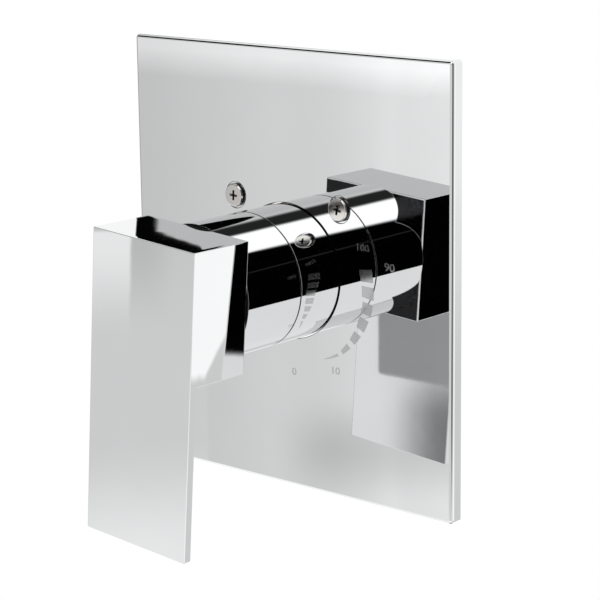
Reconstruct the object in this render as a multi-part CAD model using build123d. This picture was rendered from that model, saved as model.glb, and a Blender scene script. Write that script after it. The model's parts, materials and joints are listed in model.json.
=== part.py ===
from build123d import *
from math import cos, pi, sin
import os

# Pressure balance shower valve: square trim plate, blade lever, and the valve in the wall behind it.
#
# Frame: the origin is on the valve axis, in the plane of the finished wall. The valve axis is Y,
# and -Y points out of the wall, towards the user. +Z is up and +X is to the user's right.
# A station is a place along Y. All sizes are millimetres.

# Clearances
running_gap = 0.06          # a shaft or piston in its bore, on the radius
slip_gap = 0.1              # a fixed piece in its seat, on the radius
loose_gap = 0.35            # trim pieces that pass each other
seal_gap = 0.03             # a rubber ring short of each wall it presses on
face_gap = 0.05             # stacked faces that turn on each other
cartridge_gap = 0.2         # cartridge in the chamber, on the radius
tail_gap = 1.0              # cartridge short of the chamber's floor
ring_section_sides = 6      # flats on a rubber ring's section

# Trim plate: a shallow pan pressed from sheet
plate_width = 160.0
plate_height = 174.0
plate_depth = 5.5
plate_sheet = 1.2
plate_edge_radius = 1.5
plate_corner_radius = 1.7
plate_collar_depth = 2.4
gasket_width = 9.0
gasket_drain = 24.0         # gap at the bottom that lets water out

# Screws that hold the trim plate to the valve body
plate_screw_x = 26.5
plate_screw_z = 27.0
plate_screw_radius = 2.4
plate_screw_spare = 3.0     # thread of the ear that the screw doesn't reach
plate_screw_head_radius = 4.65
plate_screw_head_height = 1.9
plate_screw_head_edge = 0.45
screw_dimple_radius = 5.2
screw_dimple_depth = 0.5
screw_hole_radius = 2.8

# Sleeve and handle
sleeve_radius = 26.4
sleeve_length = 22.0
sleeve_wall = 1.2
sleeve_return = 1.6
sleeve_tail = 3.0           # runs on behind the front of the plate
handle_gap = 0.6            # groove between the fixed sleeve and the turning skirt
skirt_length = 28.9
skirt_wall = 2.0
skirt_web = 3.0
skirt_bevel = 0.5
hub_width = 51.0
hub_depth = 28.7
hub_above_axis = 25.4
hub_below_axis = 25.0
lever_length = 117.6
lever_thickness = 3.3
lever_inner_radius = 0.8
lever_tip_radius = 0.9
handle_edge_break = 0.35
handle_tilt = 4.3           # degrees clockwise from straight down, seen by the user
hub_wall = 3.0
hub_pocket_depth = 21.0
hub_boss_wall = 4.5
skirt_screw_post_radius = 3.6
skirt_screw_radius = 1.5
skirt_screw_length = 11.0
skirt_screw_head_radius = 2.8
skirt_screw_head_height = 1.8

# Stem adapter between handle and stem
adapter_wall = 3.9
adapter_web = 4.0
adapter_seat_depth = 9.0    # how far it enters the hub
adapter_back_gap = 3.0      # between it and the limit stop ring
adapter_counterbore_radius = 5.5
adapter_screw_radius = 2.0
adapter_screw_length = 15.0
adapter_screw_head_radius = 3.6
adapter_screw_head_height = 2.6
adapter_screw_socket = 3.0  # across flats
adapter_screw_socket_depth = 1.6
set_screw_radius = 2.5
set_screw_length = 11.5
set_screw_socket = 2.5      # across flats
set_screw_socket_depth = 3.0
set_screw_point = 0.8

# Stem
stem_radius = 7.0
stem_tip_setback = 5.0      # stem's tip behind the back of the hub
stem_foot_step = 1.6
stem_foot_thickness = 5.7
stem_ring_depth = 1.8
stem_ring_side_gap = 0.15
stem_ring_setbacks = (11.5, 18.0)   # in front of the cap's flange
spline_teeth = 20
spline_step = 1.4
spline_tooth_height = 0.6
spline_clearance = 0.08
spline_neck = 1.0
drive_lug_width = 5.0
drive_lug_depth = 2.4
drive_lug_inset = 4.2

# Turn of the handle, in degrees, and the ring that limits it
handle_turn = 105.0
limit_slack = 3.0
limit_tab_arc = 40.0
limit_tab_height = 2.7
limit_tab_inset = 0.6
limit_ring_thickness = 4.2

# Cartridge
port_setback = 62.0         # centre of the pipe ports behind the finished wall
chamber_radius = 18.0
chamber_behind_ports = 17.0
cartridge_wall = 2.6
cartridge_flange_step = 2.5
cartridge_flange_thickness = 4.0
shoulder_before_ports = 34.0
cartridge_tail_bevel = 1.0
cavity_floor_before_ports = 12.0
cap_neck_wall = 3.4
cap_neck_setback = 6.0      # neck's end behind the front of the bonnet
stem_washer_thickness = 0.85
disc_key_width = 3.0
disc_key_depth = 1.0
moving_disc_thickness = 4.1
fixed_disc_thickness = 4.2
disc_seal_thickness = 1.35
inlet_hole_offset = 8.5
inlet_hole_radius = 2.4
outlet_hole_rim = 4.0       # centre of an outlet hole to the cavity's wall
outlet_hole_radius = 2.3
outlet_window_radius = 3.4
mixing_recess_depth = 2.0
mixing_recess_inner_radius = 5.4
mixing_recess_rim = 0.8
mixing_recess_arc = 150.0
housing_ring_section = 0.85
front_ring_setback = 7.0
tail_ring_setback = 3.5
inlet_seal_lap = 2.0        # how far a saddle seal reaches past the balance sleeve
inlet_seal_lip = 1.3        # how far it covers the balance sleeve's end
inlet_seal_thickness = 1.6

# Balance spool and its sleeve, across the cartridge
balance_bore_radius = 4.5
balance_wall = 2.4
balance_end_gap = 0.45
balance_ring_offset = 3.6
balance_ring_depth = 1.15
spool_travel = 1.6
spool_end_gap = 0.3
spool_wall = 2.1
spool_drilling_floor = 3.0
spool_port_radius = 1.2
spool_groove_depth = 0.94
spool_groove_half_width = 1.5
clip_section = 0.8
clip_width = 2.0
clip_groove_depth = 0.8
clip_end_wall = 0.7
clip_mouth_angle = 60.0

# Valve body casting
body_front_wall = 3.0
body_front_gap = 1.0        # rim short of the nut's lip
body_thread_spare = 3.0
barrel_wall = 4.6
barrel_floor = 5.0
barrel_back_bevel = 3.0
casting_bevel = 1.0
port_boss_wall = 4.1
port_rim_step = 1.6
port_rim_length = 5.0
port_thread_radius = 9.9    # middle of a half inch taper pipe thread
port_thread_length = 16.0
inlet_passage_radius = 5.5
outlet_passage_radius = 7.0
outlet_neck = 20.0          # chamber wall to the outlet's thread
ear_radius = 6.0
ear_setback = 9.0           # behind the front rim of the body
ear_length = 16.0
ear_web_width = 9.0
ear_web_setback = 5.0

# Service stops, one in each inlet
stop_clearance = 8.4        # stop's centre past the barrel
stop_plug_wall = 2.0
stop_boss_wall = 3.0
stop_port_wall = 1.5
stop_boss_before_ports = 25.0
stop_boss_behind_ports = 11.0
stop_bore_behind_ports = 7.5
stop_plug_setback = 4.0
stop_plug_hole_step = 0.3
stop_slot_width = 1.4
stop_slot_depth = 1.8
stop_ring_setback = 7.0
stop_ring_depth = 1.6
retainer_lip = 2.9

# Bonnet nut
nut_wall = 2.5
nut_corner_step = 2.6
nut_lip_thickness = 6.0
nut_lip_gap = 2.0
nut_thread_length = 12.0
bonnet_gap = 1.0
bonnet_wall = 3.2
bonnet_setback = 7.5        # behind the front of the sleeve
sleeve_ring_setback = 7.0
sleeve_ring_depth = 1.6
sleeve_ring_side_gap = 0.2

# Plug in the lower outlet
tub_plug_length = 14.0
tub_plug_socket = 9.5       # across flats
tub_plug_socket_depth = 8.0

# Stations along the trim and the handle
plate_face = -plate_depth
plate_back = plate_face + plate_sheet
sleeve_front = plate_face - sleeve_length
sleeve_back = plate_face + sleeve_tail
skirt_back = sleeve_front - handle_gap
hub_back = skirt_back - skirt_length
hub_front = hub_back - hub_depth
lever_back = hub_front + lever_thickness
lever_bottom = hub_above_axis - lever_length
stem_tip_station = hub_back + stem_tip_setback
adapter_front = hub_back - adapter_seat_depth
adapter_web_front = stem_tip_station - slip_gap - adapter_web
set_screw_station = hub_back - adapter_seat_depth / 2

# Stations along the body and the cartridge
chamber_floor = port_setback + chamber_behind_ports
barrel_back = chamber_floor + barrel_floor
cartridge_tail = chamber_floor - tail_gap
cartridge_shoulder = port_setback - shoulder_before_ports
cap_flange_back = cartridge_shoulder - cartridge_flange_thickness
cap_flange_front = cap_flange_back - cartridge_flange_thickness
disc_cavity_floor = port_setback - cavity_floor_before_ports
fixed_disc_back = disc_cavity_floor - disc_seal_thickness - slip_gap
fixed_disc_front = fixed_disc_back - fixed_disc_thickness
moving_disc_back = fixed_disc_front - face_gap
moving_disc_front = moving_disc_back - moving_disc_thickness
stem_foot_back = moving_disc_front - face_gap
stem_foot_front = stem_foot_back - stem_foot_thickness
stem_washer_front = stem_foot_front - face_gap - stem_washer_thickness
cap_spigot_station = stem_washer_front - face_gap
housing_ring_stations = (cartridge_shoulder + front_ring_setback, cartridge_tail - tail_ring_setback)
body_front = cap_flange_front + body_front_gap
nut_lip_front = cap_flange_front - nut_lip_thickness
nut_back = body_front + nut_thread_length
body_thread_end = nut_back + body_thread_spare
ear_front = body_front + ear_setback
ear_back = ear_front + ear_length
ear_web_front = ear_front + ear_web_setback
stop_boss_front = port_setback - stop_boss_before_ports
stop_boss_back = port_setback + stop_boss_behind_ports
stop_bore_floor = port_setback + stop_bore_behind_ports
stop_plug_front = stop_boss_front + stop_plug_setback
stop_ring_station = stop_plug_front + stop_ring_setback

# Stations at the bonnet's front
bonnet_front = sleeve_front + bonnet_setback
sleeve_ring_station = bonnet_front + sleeve_ring_setback
cap_neck_station = bonnet_front + cap_neck_setback
spline_back = cap_neck_station - spline_neck
limit_tab_front = cap_neck_station - face_gap - limit_tab_height
limit_ring_back = cap_neck_station - limit_tab_height - 4 * face_gap
limit_ring_front = limit_ring_back - limit_ring_thickness
limit_lug_arc = 360 - handle_turn - limit_tab_arc - 2 * limit_slack
adapter_back = limit_ring_front - adapter_back_gap
stem_ring_stations = [cap_flange_front - setback for setback in stem_ring_setbacks]

# Radii that fit each other
stem_ring_root = stem_radius - stem_ring_depth
stem_ring_section = (stem_ring_depth + running_gap) / 2 - seal_gap
stem_ring_groove = 2 * (stem_ring_section + stem_ring_side_gap)
spline_tip_radius = stem_radius - spline_step
spline_root_radius = spline_tip_radius - spline_tooth_height
adapter_radius = spline_tip_radius + adapter_wall
hub_boss_radius = adapter_radius + hub_boss_wall
skirt_bore_radius = sleeve_radius - skirt_wall
hub_pocket_radius = min(hub_width / 2 - hub_wall, skirt_bore_radius)
skirt_screw_offset = (hub_boss_radius + hub_pocket_radius) / 2
cap_neck_radius = stem_radius + cap_neck_wall
limit_tab_inner_radius = stem_radius + limit_tab_inset
cartridge_radius = chamber_radius - cartridge_gap
cartridge_flange_radius = chamber_radius + cartridge_flange_step
disc_cavity_radius = cartridge_radius - cartridge_wall
disc_radius = disc_cavity_radius - 2 * slip_gap
stem_foot_radius = disc_radius - stem_foot_step
mixing_recess_outer_radius = stem_foot_radius - mixing_recess_rim
outlet_hole_offset = disc_cavity_radius - outlet_hole_rim
balance_sleeve_radius = balance_bore_radius + balance_wall
balance_ring_root = balance_sleeve_radius - balance_ring_depth
balance_ring_section = (balance_ring_depth + slip_gap) / 2 - seal_gap
inlet_seal_outer_radius = balance_sleeve_radius + inlet_seal_lap
inlet_seal_inner_radius = balance_sleeve_radius - inlet_seal_lip
inlet_seal_floor = cartridge_radius - inlet_seal_thickness
balance_half_length = (inlet_seal_floor ** 2 - balance_sleeve_radius ** 2) ** 0.5 - balance_end_gap
clip_inner_end = balance_half_length - clip_end_wall - clip_section
clip_outer_radius = balance_bore_radius + clip_groove_depth - slip_gap
clip_inner_radius = clip_outer_radius - clip_width
spool_half_length = clip_inner_end - spool_end_gap - spool_travel
spool_radius = balance_bore_radius - running_gap
spool_drilling_radius = spool_radius - spool_wall
spool_groove_radius = spool_radius - spool_groove_depth
body_thread_radius = cartridge_flange_radius + body_front_wall
barrel_radius = chamber_radius + barrel_wall
port_boss_radius = port_thread_radius + port_boss_wall
port_rim_radius = port_boss_radius + port_rim_step
stop_bore_radius = inlet_passage_radius + stop_plug_wall
stop_boss_radius = stop_bore_radius + stop_boss_wall
stop_plug_radius = stop_bore_radius - running_gap
stop_plug_hole_radius = inlet_passage_radius - stop_plug_hole_step
stop_ring_root = stop_bore_radius - stop_ring_depth
stop_ring_section = stop_ring_depth / 2 - seal_gap
retainer_opening_radius = stop_bore_radius - retainer_lip
stop_offset = barrel_radius + stop_clearance
inlet_reach = stop_offset + stop_bore_radius + stop_port_wall + port_thread_length
outlet_reach = chamber_radius + outlet_neck + port_thread_length
nut_flats = 2 * (body_thread_radius + nut_wall)
nut_corner_radius = nut_flats / 2 + nut_corner_step
nut_lip_bore_radius = cap_neck_radius + nut_lip_gap
sleeve_bore_radius = sleeve_radius - sleeve_wall
bonnet_radius = sleeve_bore_radius - bonnet_gap
bonnet_bore_radius = bonnet_radius - bonnet_wall
sleeve_ring_root = bonnet_radius - sleeve_ring_depth
sleeve_ring_section = (sleeve_bore_radius - sleeve_ring_root) / 2 - seal_gap
sleeve_ring_groove = 2 * (sleeve_ring_section + sleeve_ring_side_gap)


def rod(radius, front, back, x=0, z=0):
    """Cylinder along Y from a front station to a back station."""
    return Pos(x, (front + back) / 2, z) * Rot(90, 0, 0) * Cylinder(radius, back - front)


def cross_rod(radius, left, right, station, z=0):
    """Cylinder along X."""
    return Pos((left + right) / 2, station, z) * Rot(0, 90, 0) * Cylinder(radius, right - left)


def upright_rod(radius, low, high, station, x=0):
    """Cylinder along Z."""
    return Pos(x, station, (low + high) / 2) * Cylinder(radius, high - low)


def turned(*corners):
    """Solid turned about the valve axis, from (station, radius) corners."""
    outline = [(radius, station) for station, radius in corners]
    return revolve(make_face(Polyline(*outline, close=True)), Axis.Y)


def rubber_ring(inner_radius, section):
    """Rubber ring about Y at the origin, its round section drawn with flats to keep it light."""
    outline = Pos(inner_radius + section, 0) * RegularPolygon(section, ring_section_sides)
    return revolve(outline, Axis.Y)


def ring_seal(inner_radius, section, station, x=0):
    """Rubber ring that lies across the Y direction."""
    return Pos(x, station, 0) * rubber_ring(inner_radius, section)


def groove(root_radius, outer_radius, station, width, x=0):
    """Ring to cut from a shaft or barrel to seat a rubber ring."""
    front = station - width / 2
    back = station + width / 2
    return rod(outer_radius, front, back, x) - rod(root_radius, front, back, x)


def serration(grow, front, back):
    """Serrated rod of the stem's spline, grown by a clearance."""
    step = pi / spline_teeth
    radii = (spline_tip_radius + grow, spline_root_radius + grow)
    points = [(radii[i % 2] * cos(i * step), radii[i % 2] * sin(i * step)) for i in range(2 * spline_teeth)]
    section = Plane.XZ * make_face(Polyline(*points, close=True))
    return Pos(0, back, 0) * extrude(section, back - front)


def sector(inner_radius, outer_radius, centre_angle, arc, front, back):
    """Block that fills an arc of a ring; angles run from +X towards +Z."""
    first = centre_angle - arc / 2
    inner = CenterArc((0, 0), inner_radius, first, arc)
    outer = CenterArc((0, 0), outer_radius, first, arc)
    edges = inner + outer + Line(inner @ 0, outer @ 0) + Line(inner @ 1, outer @ 1)
    section = Plane.XZ * make_face(edges)
    return Pos(0, back, 0) * extrude(section, back - front)


def hexagon_bar(across_flats, height):
    """Six-sided bar along Z, centred."""
    return extrude(RegularPolygon(across_flats / 2, 6, major_radius=False), height / 2, both=True)


def tilted(solid):
    """The handle as photographed: turned about the valve axis from straight down."""
    return Rot(0, handle_tilt, 0) * solid


def pan_form(inset):
    """The trim plate's outer form, drawn in from its skin by an inset."""
    depth = plate_depth - inset
    blank = Pos(0, -depth / 2, 0) * Box(plate_width - 2 * inset, depth, plate_height - 2 * inset)
    blank = fillet(blank.edges().filter_by(Axis.Y), plate_corner_radius - inset)
    face = blank.faces().sort_by(Axis.Y)[0]
    return fillet(face.edges(), plate_edge_radius - inset)


def make_trim_plate():
    plate = pan_form(0) - pan_form(plate_sheet)
    hole_radius = sleeve_radius + loose_gap
    collar = rod(hole_radius + plate_sheet, plate_back, plate_back + plate_collar_depth)
    plate += collar
    floor = plate_face + screw_dimple_depth
    for x in (-plate_screw_x, plate_screw_x):
        plate += rod(screw_dimple_radius + plate_sheet, plate_face + plate_sheet / 2, floor + plate_sheet,
                     x, plate_screw_z)
        plate -= rod(screw_dimple_radius, plate_face - plate_sheet, floor, x, plate_screw_z)
        plate -= rod(screw_hole_radius, plate_face - plate_sheet, 0, x, plate_screw_z)
    return plate - rod(hole_radius, plate_face - plate_sheet, plate_back + 2 * plate_collar_depth)


def make_plate_gasket():
    """Foam strip behind the rim, open at the bottom so that water can drain."""
    inset = plate_sheet + slip_gap
    front = plate_back + slip_gap
    width = plate_width - 2 * inset
    height = plate_height - 2 * inset
    middle = front / 2
    frame = Pos(0, middle, 0) * Box(width, -front, height)
    frame = chamfer(frame.edges().filter_by(Axis.Y), plate_corner_radius)
    frame -= Pos(0, middle, 0) * Box(width - 2 * gasket_width, 2 * plate_depth, height - 2 * gasket_width)
    return frame - Pos(0, middle, -height / 2) * Box(gasket_drain, 2 * plate_depth, 3 * gasket_width)


def make_plate_screws():
    floor = plate_face + screw_dimple_depth
    screws = Part()
    for x in (-plate_screw_x, plate_screw_x):
        head = rod(plate_screw_head_radius, floor - plate_screw_head_height, floor, x, plate_screw_z)
        head = chamfer(head.edges().sort_by(Axis.Y)[0], plate_screw_head_edge)
        shank = rod(plate_screw_radius, floor, ear_back - plate_screw_spare, x, plate_screw_z)
        screws += head + shank
    return screws


def make_sleeve():
    return turned(
        (sleeve_front, sleeve_radius - skirt_bevel),
        (sleeve_front + skirt_bevel, sleeve_radius),
        (sleeve_back, sleeve_radius),
        (sleeve_back, sleeve_bore_radius),
        (sleeve_front + sleeve_wall, sleeve_bore_radius),
        (sleeve_front + sleeve_wall, sleeve_bore_radius - sleeve_return),
        (sleeve_front, sleeve_bore_radius - sleeve_return))


def make_sleeve_ring():
    return ring_seal(sleeve_ring_root + seal_gap, sleeve_ring_section, sleeve_ring_station)


def make_handle_skirt():
    skirt = turned(
        (skirt_back, sleeve_radius - skirt_bevel),
        (skirt_back - skirt_bevel, sleeve_radius),
        (hub_back + skirt_bevel, sleeve_radius),
        (hub_back, sleeve_radius - skirt_bevel),
        (hub_back, adapter_radius + slip_gap),
        (hub_back + skirt_web, adapter_radius + slip_gap),
        (hub_back + skirt_web, skirt_bore_radius),
        (skirt_back, skirt_bore_radius))
    for x in (-skirt_screw_offset, skirt_screw_offset):
        skirt -= rod(skirt_screw_radius + slip_gap, hub_back - skirt_web, skirt_back, x)
    return tilted(skirt)


def make_skirt_screws():
    seat = hub_back + skirt_web
    screws = Part()
    for x in (-skirt_screw_offset, skirt_screw_offset):
        head = rod(skirt_screw_head_radius, seat, seat + skirt_screw_head_height, x)
        screws += head + rod(skirt_screw_radius, seat - skirt_screw_length, seat, x)
    return tilted(screws)


def make_handle_lever():
    """Square hub and long blade in one casting, cored from behind around the adapter's boss."""
    with BuildPart() as casting:
        with BuildSketch(Plane.YZ):
            with BuildLine():
                Polyline(
                    (hub_front, hub_above_axis), (hub_back, hub_above_axis), (hub_back, -hub_below_axis),
                    (lever_back, -hub_below_axis), (lever_back, lever_bottom), (hub_front, lever_bottom),
                    close=True)
            make_face()
        extrude(amount=hub_width / 2, both=True)
    lever = casting.part
    inner_corner = lever.edges().filter_by(Axis.X).sort_by_distance((0, lever_back, -hub_below_axis))[0]
    lever = fillet(inner_corner, lever_inner_radius)
    tip_corners = lever.edges().filter_by(Axis.Y).group_by(Axis.Z)[0]
    lever = fillet(tip_corners, lever_tip_radius)
    front = lever.faces().sort_by(Axis.Y)[0]
    lever = chamfer(front.edges(), handle_edge_break)
    pocket = rod(hub_pocket_radius, hub_back - hub_pocket_depth, hub_back)
    pocket -= rod(hub_boss_radius, hub_back - hub_pocket_depth, hub_back)
    for x in (-skirt_screw_offset, skirt_screw_offset):
        pocket -= rod(skirt_screw_post_radius, hub_back - hub_pocket_depth, hub_back, x)
    lever -= pocket
    for x in (-skirt_screw_offset, skirt_screw_offset):
        lever -= rod(skirt_screw_radius + slip_gap, hub_back - skirt_screw_length, hub_back, x)
    lever -= rod(adapter_radius + slip_gap, adapter_front - slip_gap, hub_back)
    lever -= upright_rod(set_screw_radius + slip_gap, -2 * hub_below_axis, 0, set_screw_station)
    return tilted(lever)


def make_handle_set_screw():
    top = -adapter_radius - slip_gap
    screw = upright_rod(set_screw_radius, top - set_screw_length, top, set_screw_station)
    screw = chamfer(screw.edges().sort_by(Axis.Z)[-1], set_screw_point)
    socket = hexagon_bar(set_screw_socket, 2 * set_screw_socket_depth)
    socket = Pos(0, set_screw_station, top - set_screw_length) * socket
    return tilted(screw - socket)


def make_stem_adapter():
    adapter = rod(adapter_radius, adapter_front, adapter_back)
    adapter -= serration(spline_clearance, stem_tip_station - slip_gap, adapter_back)
    adapter -= rod(adapter_screw_radius + slip_gap, adapter_front, 0)
    return adapter - rod(adapter_counterbore_radius, adapter_front, adapter_web_front)


def make_adapter_screw():
    front = adapter_web_front - adapter_screw_head_height
    head = rod(adapter_screw_head_radius, front, adapter_web_front)
    socket = hexagon_bar(adapter_screw_socket, 2 * adapter_screw_socket_depth)
    head -= Pos(0, front, 0) * Rot(90, 0, 0) * socket
    return head + rod(adapter_screw_radius, adapter_web_front, adapter_web_front + adapter_screw_length)


def drive_lugs(grow):
    """Two lugs on the stem's foot; grown, they are the notches of the moving disc."""
    front = stem_foot_back - grow
    back = stem_foot_back + drive_lug_depth + grow
    bar = Pos(0, (front + back) / 2, 0) * Box(2 * disc_radius, back - front, drive_lug_width + 2 * grow)
    belt = rod(stem_foot_radius + grow, front, back) - rod(stem_foot_radius - drive_lug_inset - grow, front, back)
    return bar & belt


def make_stem():
    stem = rod(stem_foot_radius, stem_foot_front, stem_foot_back)
    stem += rod(stem_radius, spline_back, stem_foot_front)
    stem += serration(0, stem_tip_station, spline_back)
    stem += drive_lugs(0)
    for station in stem_ring_stations:
        stem -= groove(stem_ring_root, 2 * stem_radius, station, stem_ring_groove)
    tapped_end = adapter_web_front + adapter_screw_length + 2 * slip_gap
    return stem - rod(adapter_screw_radius + slip_gap, stem_tip_station, tapped_end)


def make_stem_rings():
    rings = Part()
    for station in stem_ring_stations:
        rings += ring_seal(stem_ring_root + seal_gap, stem_ring_section, station)
    return rings


def make_stem_washer():
    back = stem_washer_front + stem_washer_thickness
    return rod(stem_foot_radius, stem_washer_front, back) - rod(stem_radius + slip_gap, stem_washer_front, back)


def limit_segment(middle, arc, front, back):
    return sector(limit_tab_inner_radius, cap_neck_radius - slip_gap, middle, arc, front, back)


def make_limit_ring():
    """Ring on the stem's spline; its tab runs between the two ends of the cap's lug."""
    ring = rod(cap_neck_radius, limit_ring_front, limit_ring_back)
    ring += limit_segment(90, limit_tab_arc, limit_tab_front, cap_neck_station - face_gap)
    ring += limit_segment(90, limit_tab_arc, limit_ring_back - face_gap, limit_tab_front)
    return ring - serration(spline_clearance, limit_ring_front, limit_ring_back)


def make_cartridge_cap():
    """Cover of the cartridge: spigot, flange, and the long neck that guides the stem."""
    cap = turned(
        (cap_spigot_station, 0), (cap_spigot_station, disc_cavity_radius - slip_gap),
        (cap_flange_back, disc_cavity_radius - slip_gap), (cap_flange_back, cartridge_flange_radius),
        (cap_flange_front, cartridge_flange_radius), (cap_flange_front, cap_neck_radius),
        (cap_neck_station, cap_neck_radius), (cap_neck_station, 0))
    # The tab starts beside one end of the lug and swings by the handle's turn, towards -X at the top.
    lug_middle = 90 + handle_turn / 2 + 180
    cap += limit_segment(lug_middle, limit_lug_arc, cap_neck_station - limit_tab_height, cap_neck_station)
    return cap - rod(stem_radius + running_gap, cap_neck_station - 2 * limit_tab_height, cap_spigot_station)


def disc_drillings(radius_trim, front, back):
    """Two inlet and two outlet holes that line up through seal, fixed disc and housing."""
    holes = Part()
    for x in (-inlet_hole_offset, inlet_hole_offset):
        holes += rod(inlet_hole_radius - radius_trim, front, back, x)
    for z in (-outlet_hole_offset, outlet_hole_offset):
        holes += rod(outlet_hole_radius - radius_trim, front, back, 0, z)
    return holes


def disc_keys(grow, front, back):
    """Notches at both sides that stop the fixed disc and its seal from turning."""
    depth = disc_key_depth + grow
    bars = Part()
    for side in (-1, 1):
        x = side * (disc_cavity_radius - depth / 2)
        bars += Pos(x, (front + back) / 2, 0) * Box(depth, back - front, disc_key_width + 2 * grow)
    return bars


def make_moving_disc():
    """Ceramic disc that turns with the stem; a blind recess joins inlets to outlets."""
    disc = rod(stem_foot_radius, moving_disc_front, moving_disc_back)
    disc -= drive_lugs(slip_gap)
    return disc - sector(mixing_recess_inner_radius, mixing_recess_outer_radius, -90, mixing_recess_arc,
                         moving_disc_back - mixing_recess_depth / 2, moving_disc_back)


def make_fixed_disc():
    disc = rod(disc_radius, fixed_disc_front, fixed_disc_back)
    disc -= disc_drillings(0, fixed_disc_front, fixed_disc_back)
    return disc - disc_keys(slip_gap, fixed_disc_front, fixed_disc_back)


def make_disc_seal():
    back = disc_cavity_floor
    front = back - disc_seal_thickness
    seal = rod(disc_radius, front, back) - disc_drillings(slip_gap, front, back)
    return seal - disc_keys(slip_gap, front, back)


def make_cartridge_housing():
    """Moulded housing: disc cavity in front, cross bore for the balance sleeve behind."""
    housing = rod(cartridge_radius, cartridge_shoulder, cartridge_tail)
    housing += rod(cartridge_flange_radius, cap_flange_back, cartridge_shoulder)
    housing = chamfer(housing.edges().sort_by(Axis.Y)[-1], cartridge_tail_bevel)
    housing -= rod(disc_cavity_radius, cap_flange_back, disc_cavity_floor)
    housing += disc_keys(0, fixed_disc_front, disc_cavity_floor)
    housing -= cross_rod(balance_sleeve_radius + slip_gap, -chamber_radius, chamber_radius, port_setback)
    for x in (-inlet_hole_offset, inlet_hole_offset):
        housing -= rod(inlet_hole_radius, disc_cavity_floor, port_setback, x)
    for side in (-1, 1):
        z = side * outlet_hole_offset
        housing -= rod(outlet_hole_radius, disc_cavity_floor, port_setback, 0, z)
        low, high = sorted((z, side * chamber_radius))
        housing -= upright_rod(outlet_window_radius, low, high, port_setback)
        housing -= inlet_seal_block(side, inlet_seal_outer_radius + slip_gap, 0)
    for station in housing_ring_stations:
        root = cartridge_radius - 2 * housing_ring_section + slip_gap
        housing -= groove(root, 2 * cartridge_radius, station, 2 * housing_ring_section + slip_gap)
    return housing


def inlet_seal_block(side, radius, trim):
    """Saddle-shaped disc between the housing's flank and the chamber wall, at one inlet."""
    left, right = (0, chamber_radius) if side > 0 else (-chamber_radius, 0)
    block = cross_rod(radius, left, right, port_setback)
    shell = rod(chamber_radius - trim, port_setback - 2 * radius, port_setback + 2 * radius)
    shell -= rod(inlet_seal_floor + trim, port_setback - 2 * radius,
                 port_setback + 2 * radius)
    return block & shell


def make_housing_rings():
    rings = Part()
    for station in housing_ring_stations:
        inner = chamber_radius - seal_gap - 2 * housing_ring_section
        rings += ring_seal(inner, housing_ring_section, station)
    return rings


def make_inlet_seals():
    seals = Part()
    for side in (-1, 1):
        seal = inlet_seal_block(side, inlet_seal_outer_radius, seal_gap)
        seals += seal - cross_rod(inlet_seal_inner_radius, -chamber_radius, chamber_radius, port_setback)
    return seals


def make_balance_sleeve():
    """Bored sleeve with a window to each disc drilling and a groove for each end clip."""
    sleeve = cross_rod(balance_sleeve_radius, -balance_half_length, balance_half_length, port_setback)
    sleeve -= cross_rod(balance_bore_radius, -balance_half_length, balance_half_length, port_setback)
    for side in (-1, 1):
        sleeve -= rod(inlet_hole_radius - slip_gap, 0, port_setback, side * inlet_hole_offset)
        near, far = sorted((side * clip_inner_end, side * (clip_inner_end + clip_section)))
        sleeve -= cross_rod(balance_bore_radius + clip_groove_depth, near, far, port_setback)
        ring = side * balance_ring_offset
        half = balance_ring_section + slip_gap
        belt = cross_rod(2 * balance_sleeve_radius, ring - half, ring + half, port_setback)
        sleeve -= belt - cross_rod(balance_ring_root, ring - half, ring + half, port_setback)
    return sleeve


def make_balance_rings():
    rings = Part()
    for side in (-1, 1):
        ring = Rot(0, 0, 90) * rubber_ring(balance_ring_root + seal_gap, balance_ring_section)
        rings += Pos(side * balance_ring_offset, port_setback, 0) * ring
    return rings


def make_balance_clips():
    """Open spring rings that keep the spool in its sleeve."""
    clips = Part()
    for side in (-1, 1):
        ends = (side * (clip_inner_end + face_gap), side * (clip_inner_end + clip_section - face_gap))
        near, far = sorted(ends)
        clip = cross_rod(clip_outer_radius, near, far, port_setback)
        clip -= cross_rod(clip_inner_radius, near, far, port_setback)
        mouth_width = 2 * clip_inner_radius * sin(clip_mouth_angle * pi / 360)
        mouth = Box(4 * clip_section, mouth_width, 2 * clip_outer_radius)
        clips += clip - Pos(near, port_setback, clip_outer_radius) * mouth
    return clips


def make_balance_spool():
    """Piston with drilled ends; grooves and cross holes pass the water to the sleeve's windows."""
    spool = cross_rod(spool_radius, -spool_half_length, spool_half_length, port_setback)
    for side in (-1, 1):
        window = side * inlet_hole_offset
        half = spool_groove_half_width
        belt = cross_rod(2 * spool_radius, window - half, window + half, port_setback)
        spool -= belt - cross_rod(spool_groove_radius, window - half, window + half, port_setback)
        left, right = sorted((side * spool_drilling_floor, side * spool_half_length))
        spool -= cross_rod(spool_drilling_radius, left, right, port_setback)
        spool -= upright_rod(spool_port_radius, -spool_radius, spool_radius, port_setback, window)
        spool -= rod(spool_port_radius, port_setback - spool_radius, port_setback + spool_radius, window)
    return spool


def port_boss(reach):
    """One pipe port, along +Z from the chamber's centre, solid, with a rim at its mouth."""
    boss = upright_rod(port_boss_radius, 0, reach, port_setback)
    return boss + upright_rod(port_rim_radius, reach - port_rim_length, reach, port_setback)


def port_bore(reach, passage_radius):
    """The hollow of one pipe port, along +Z: thread wall and passage to the chamber."""
    thread = upright_rod(port_thread_radius, reach - port_thread_length, reach, port_setback)
    return thread + upright_rod(passage_radius, 0, reach, port_setback)


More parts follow.
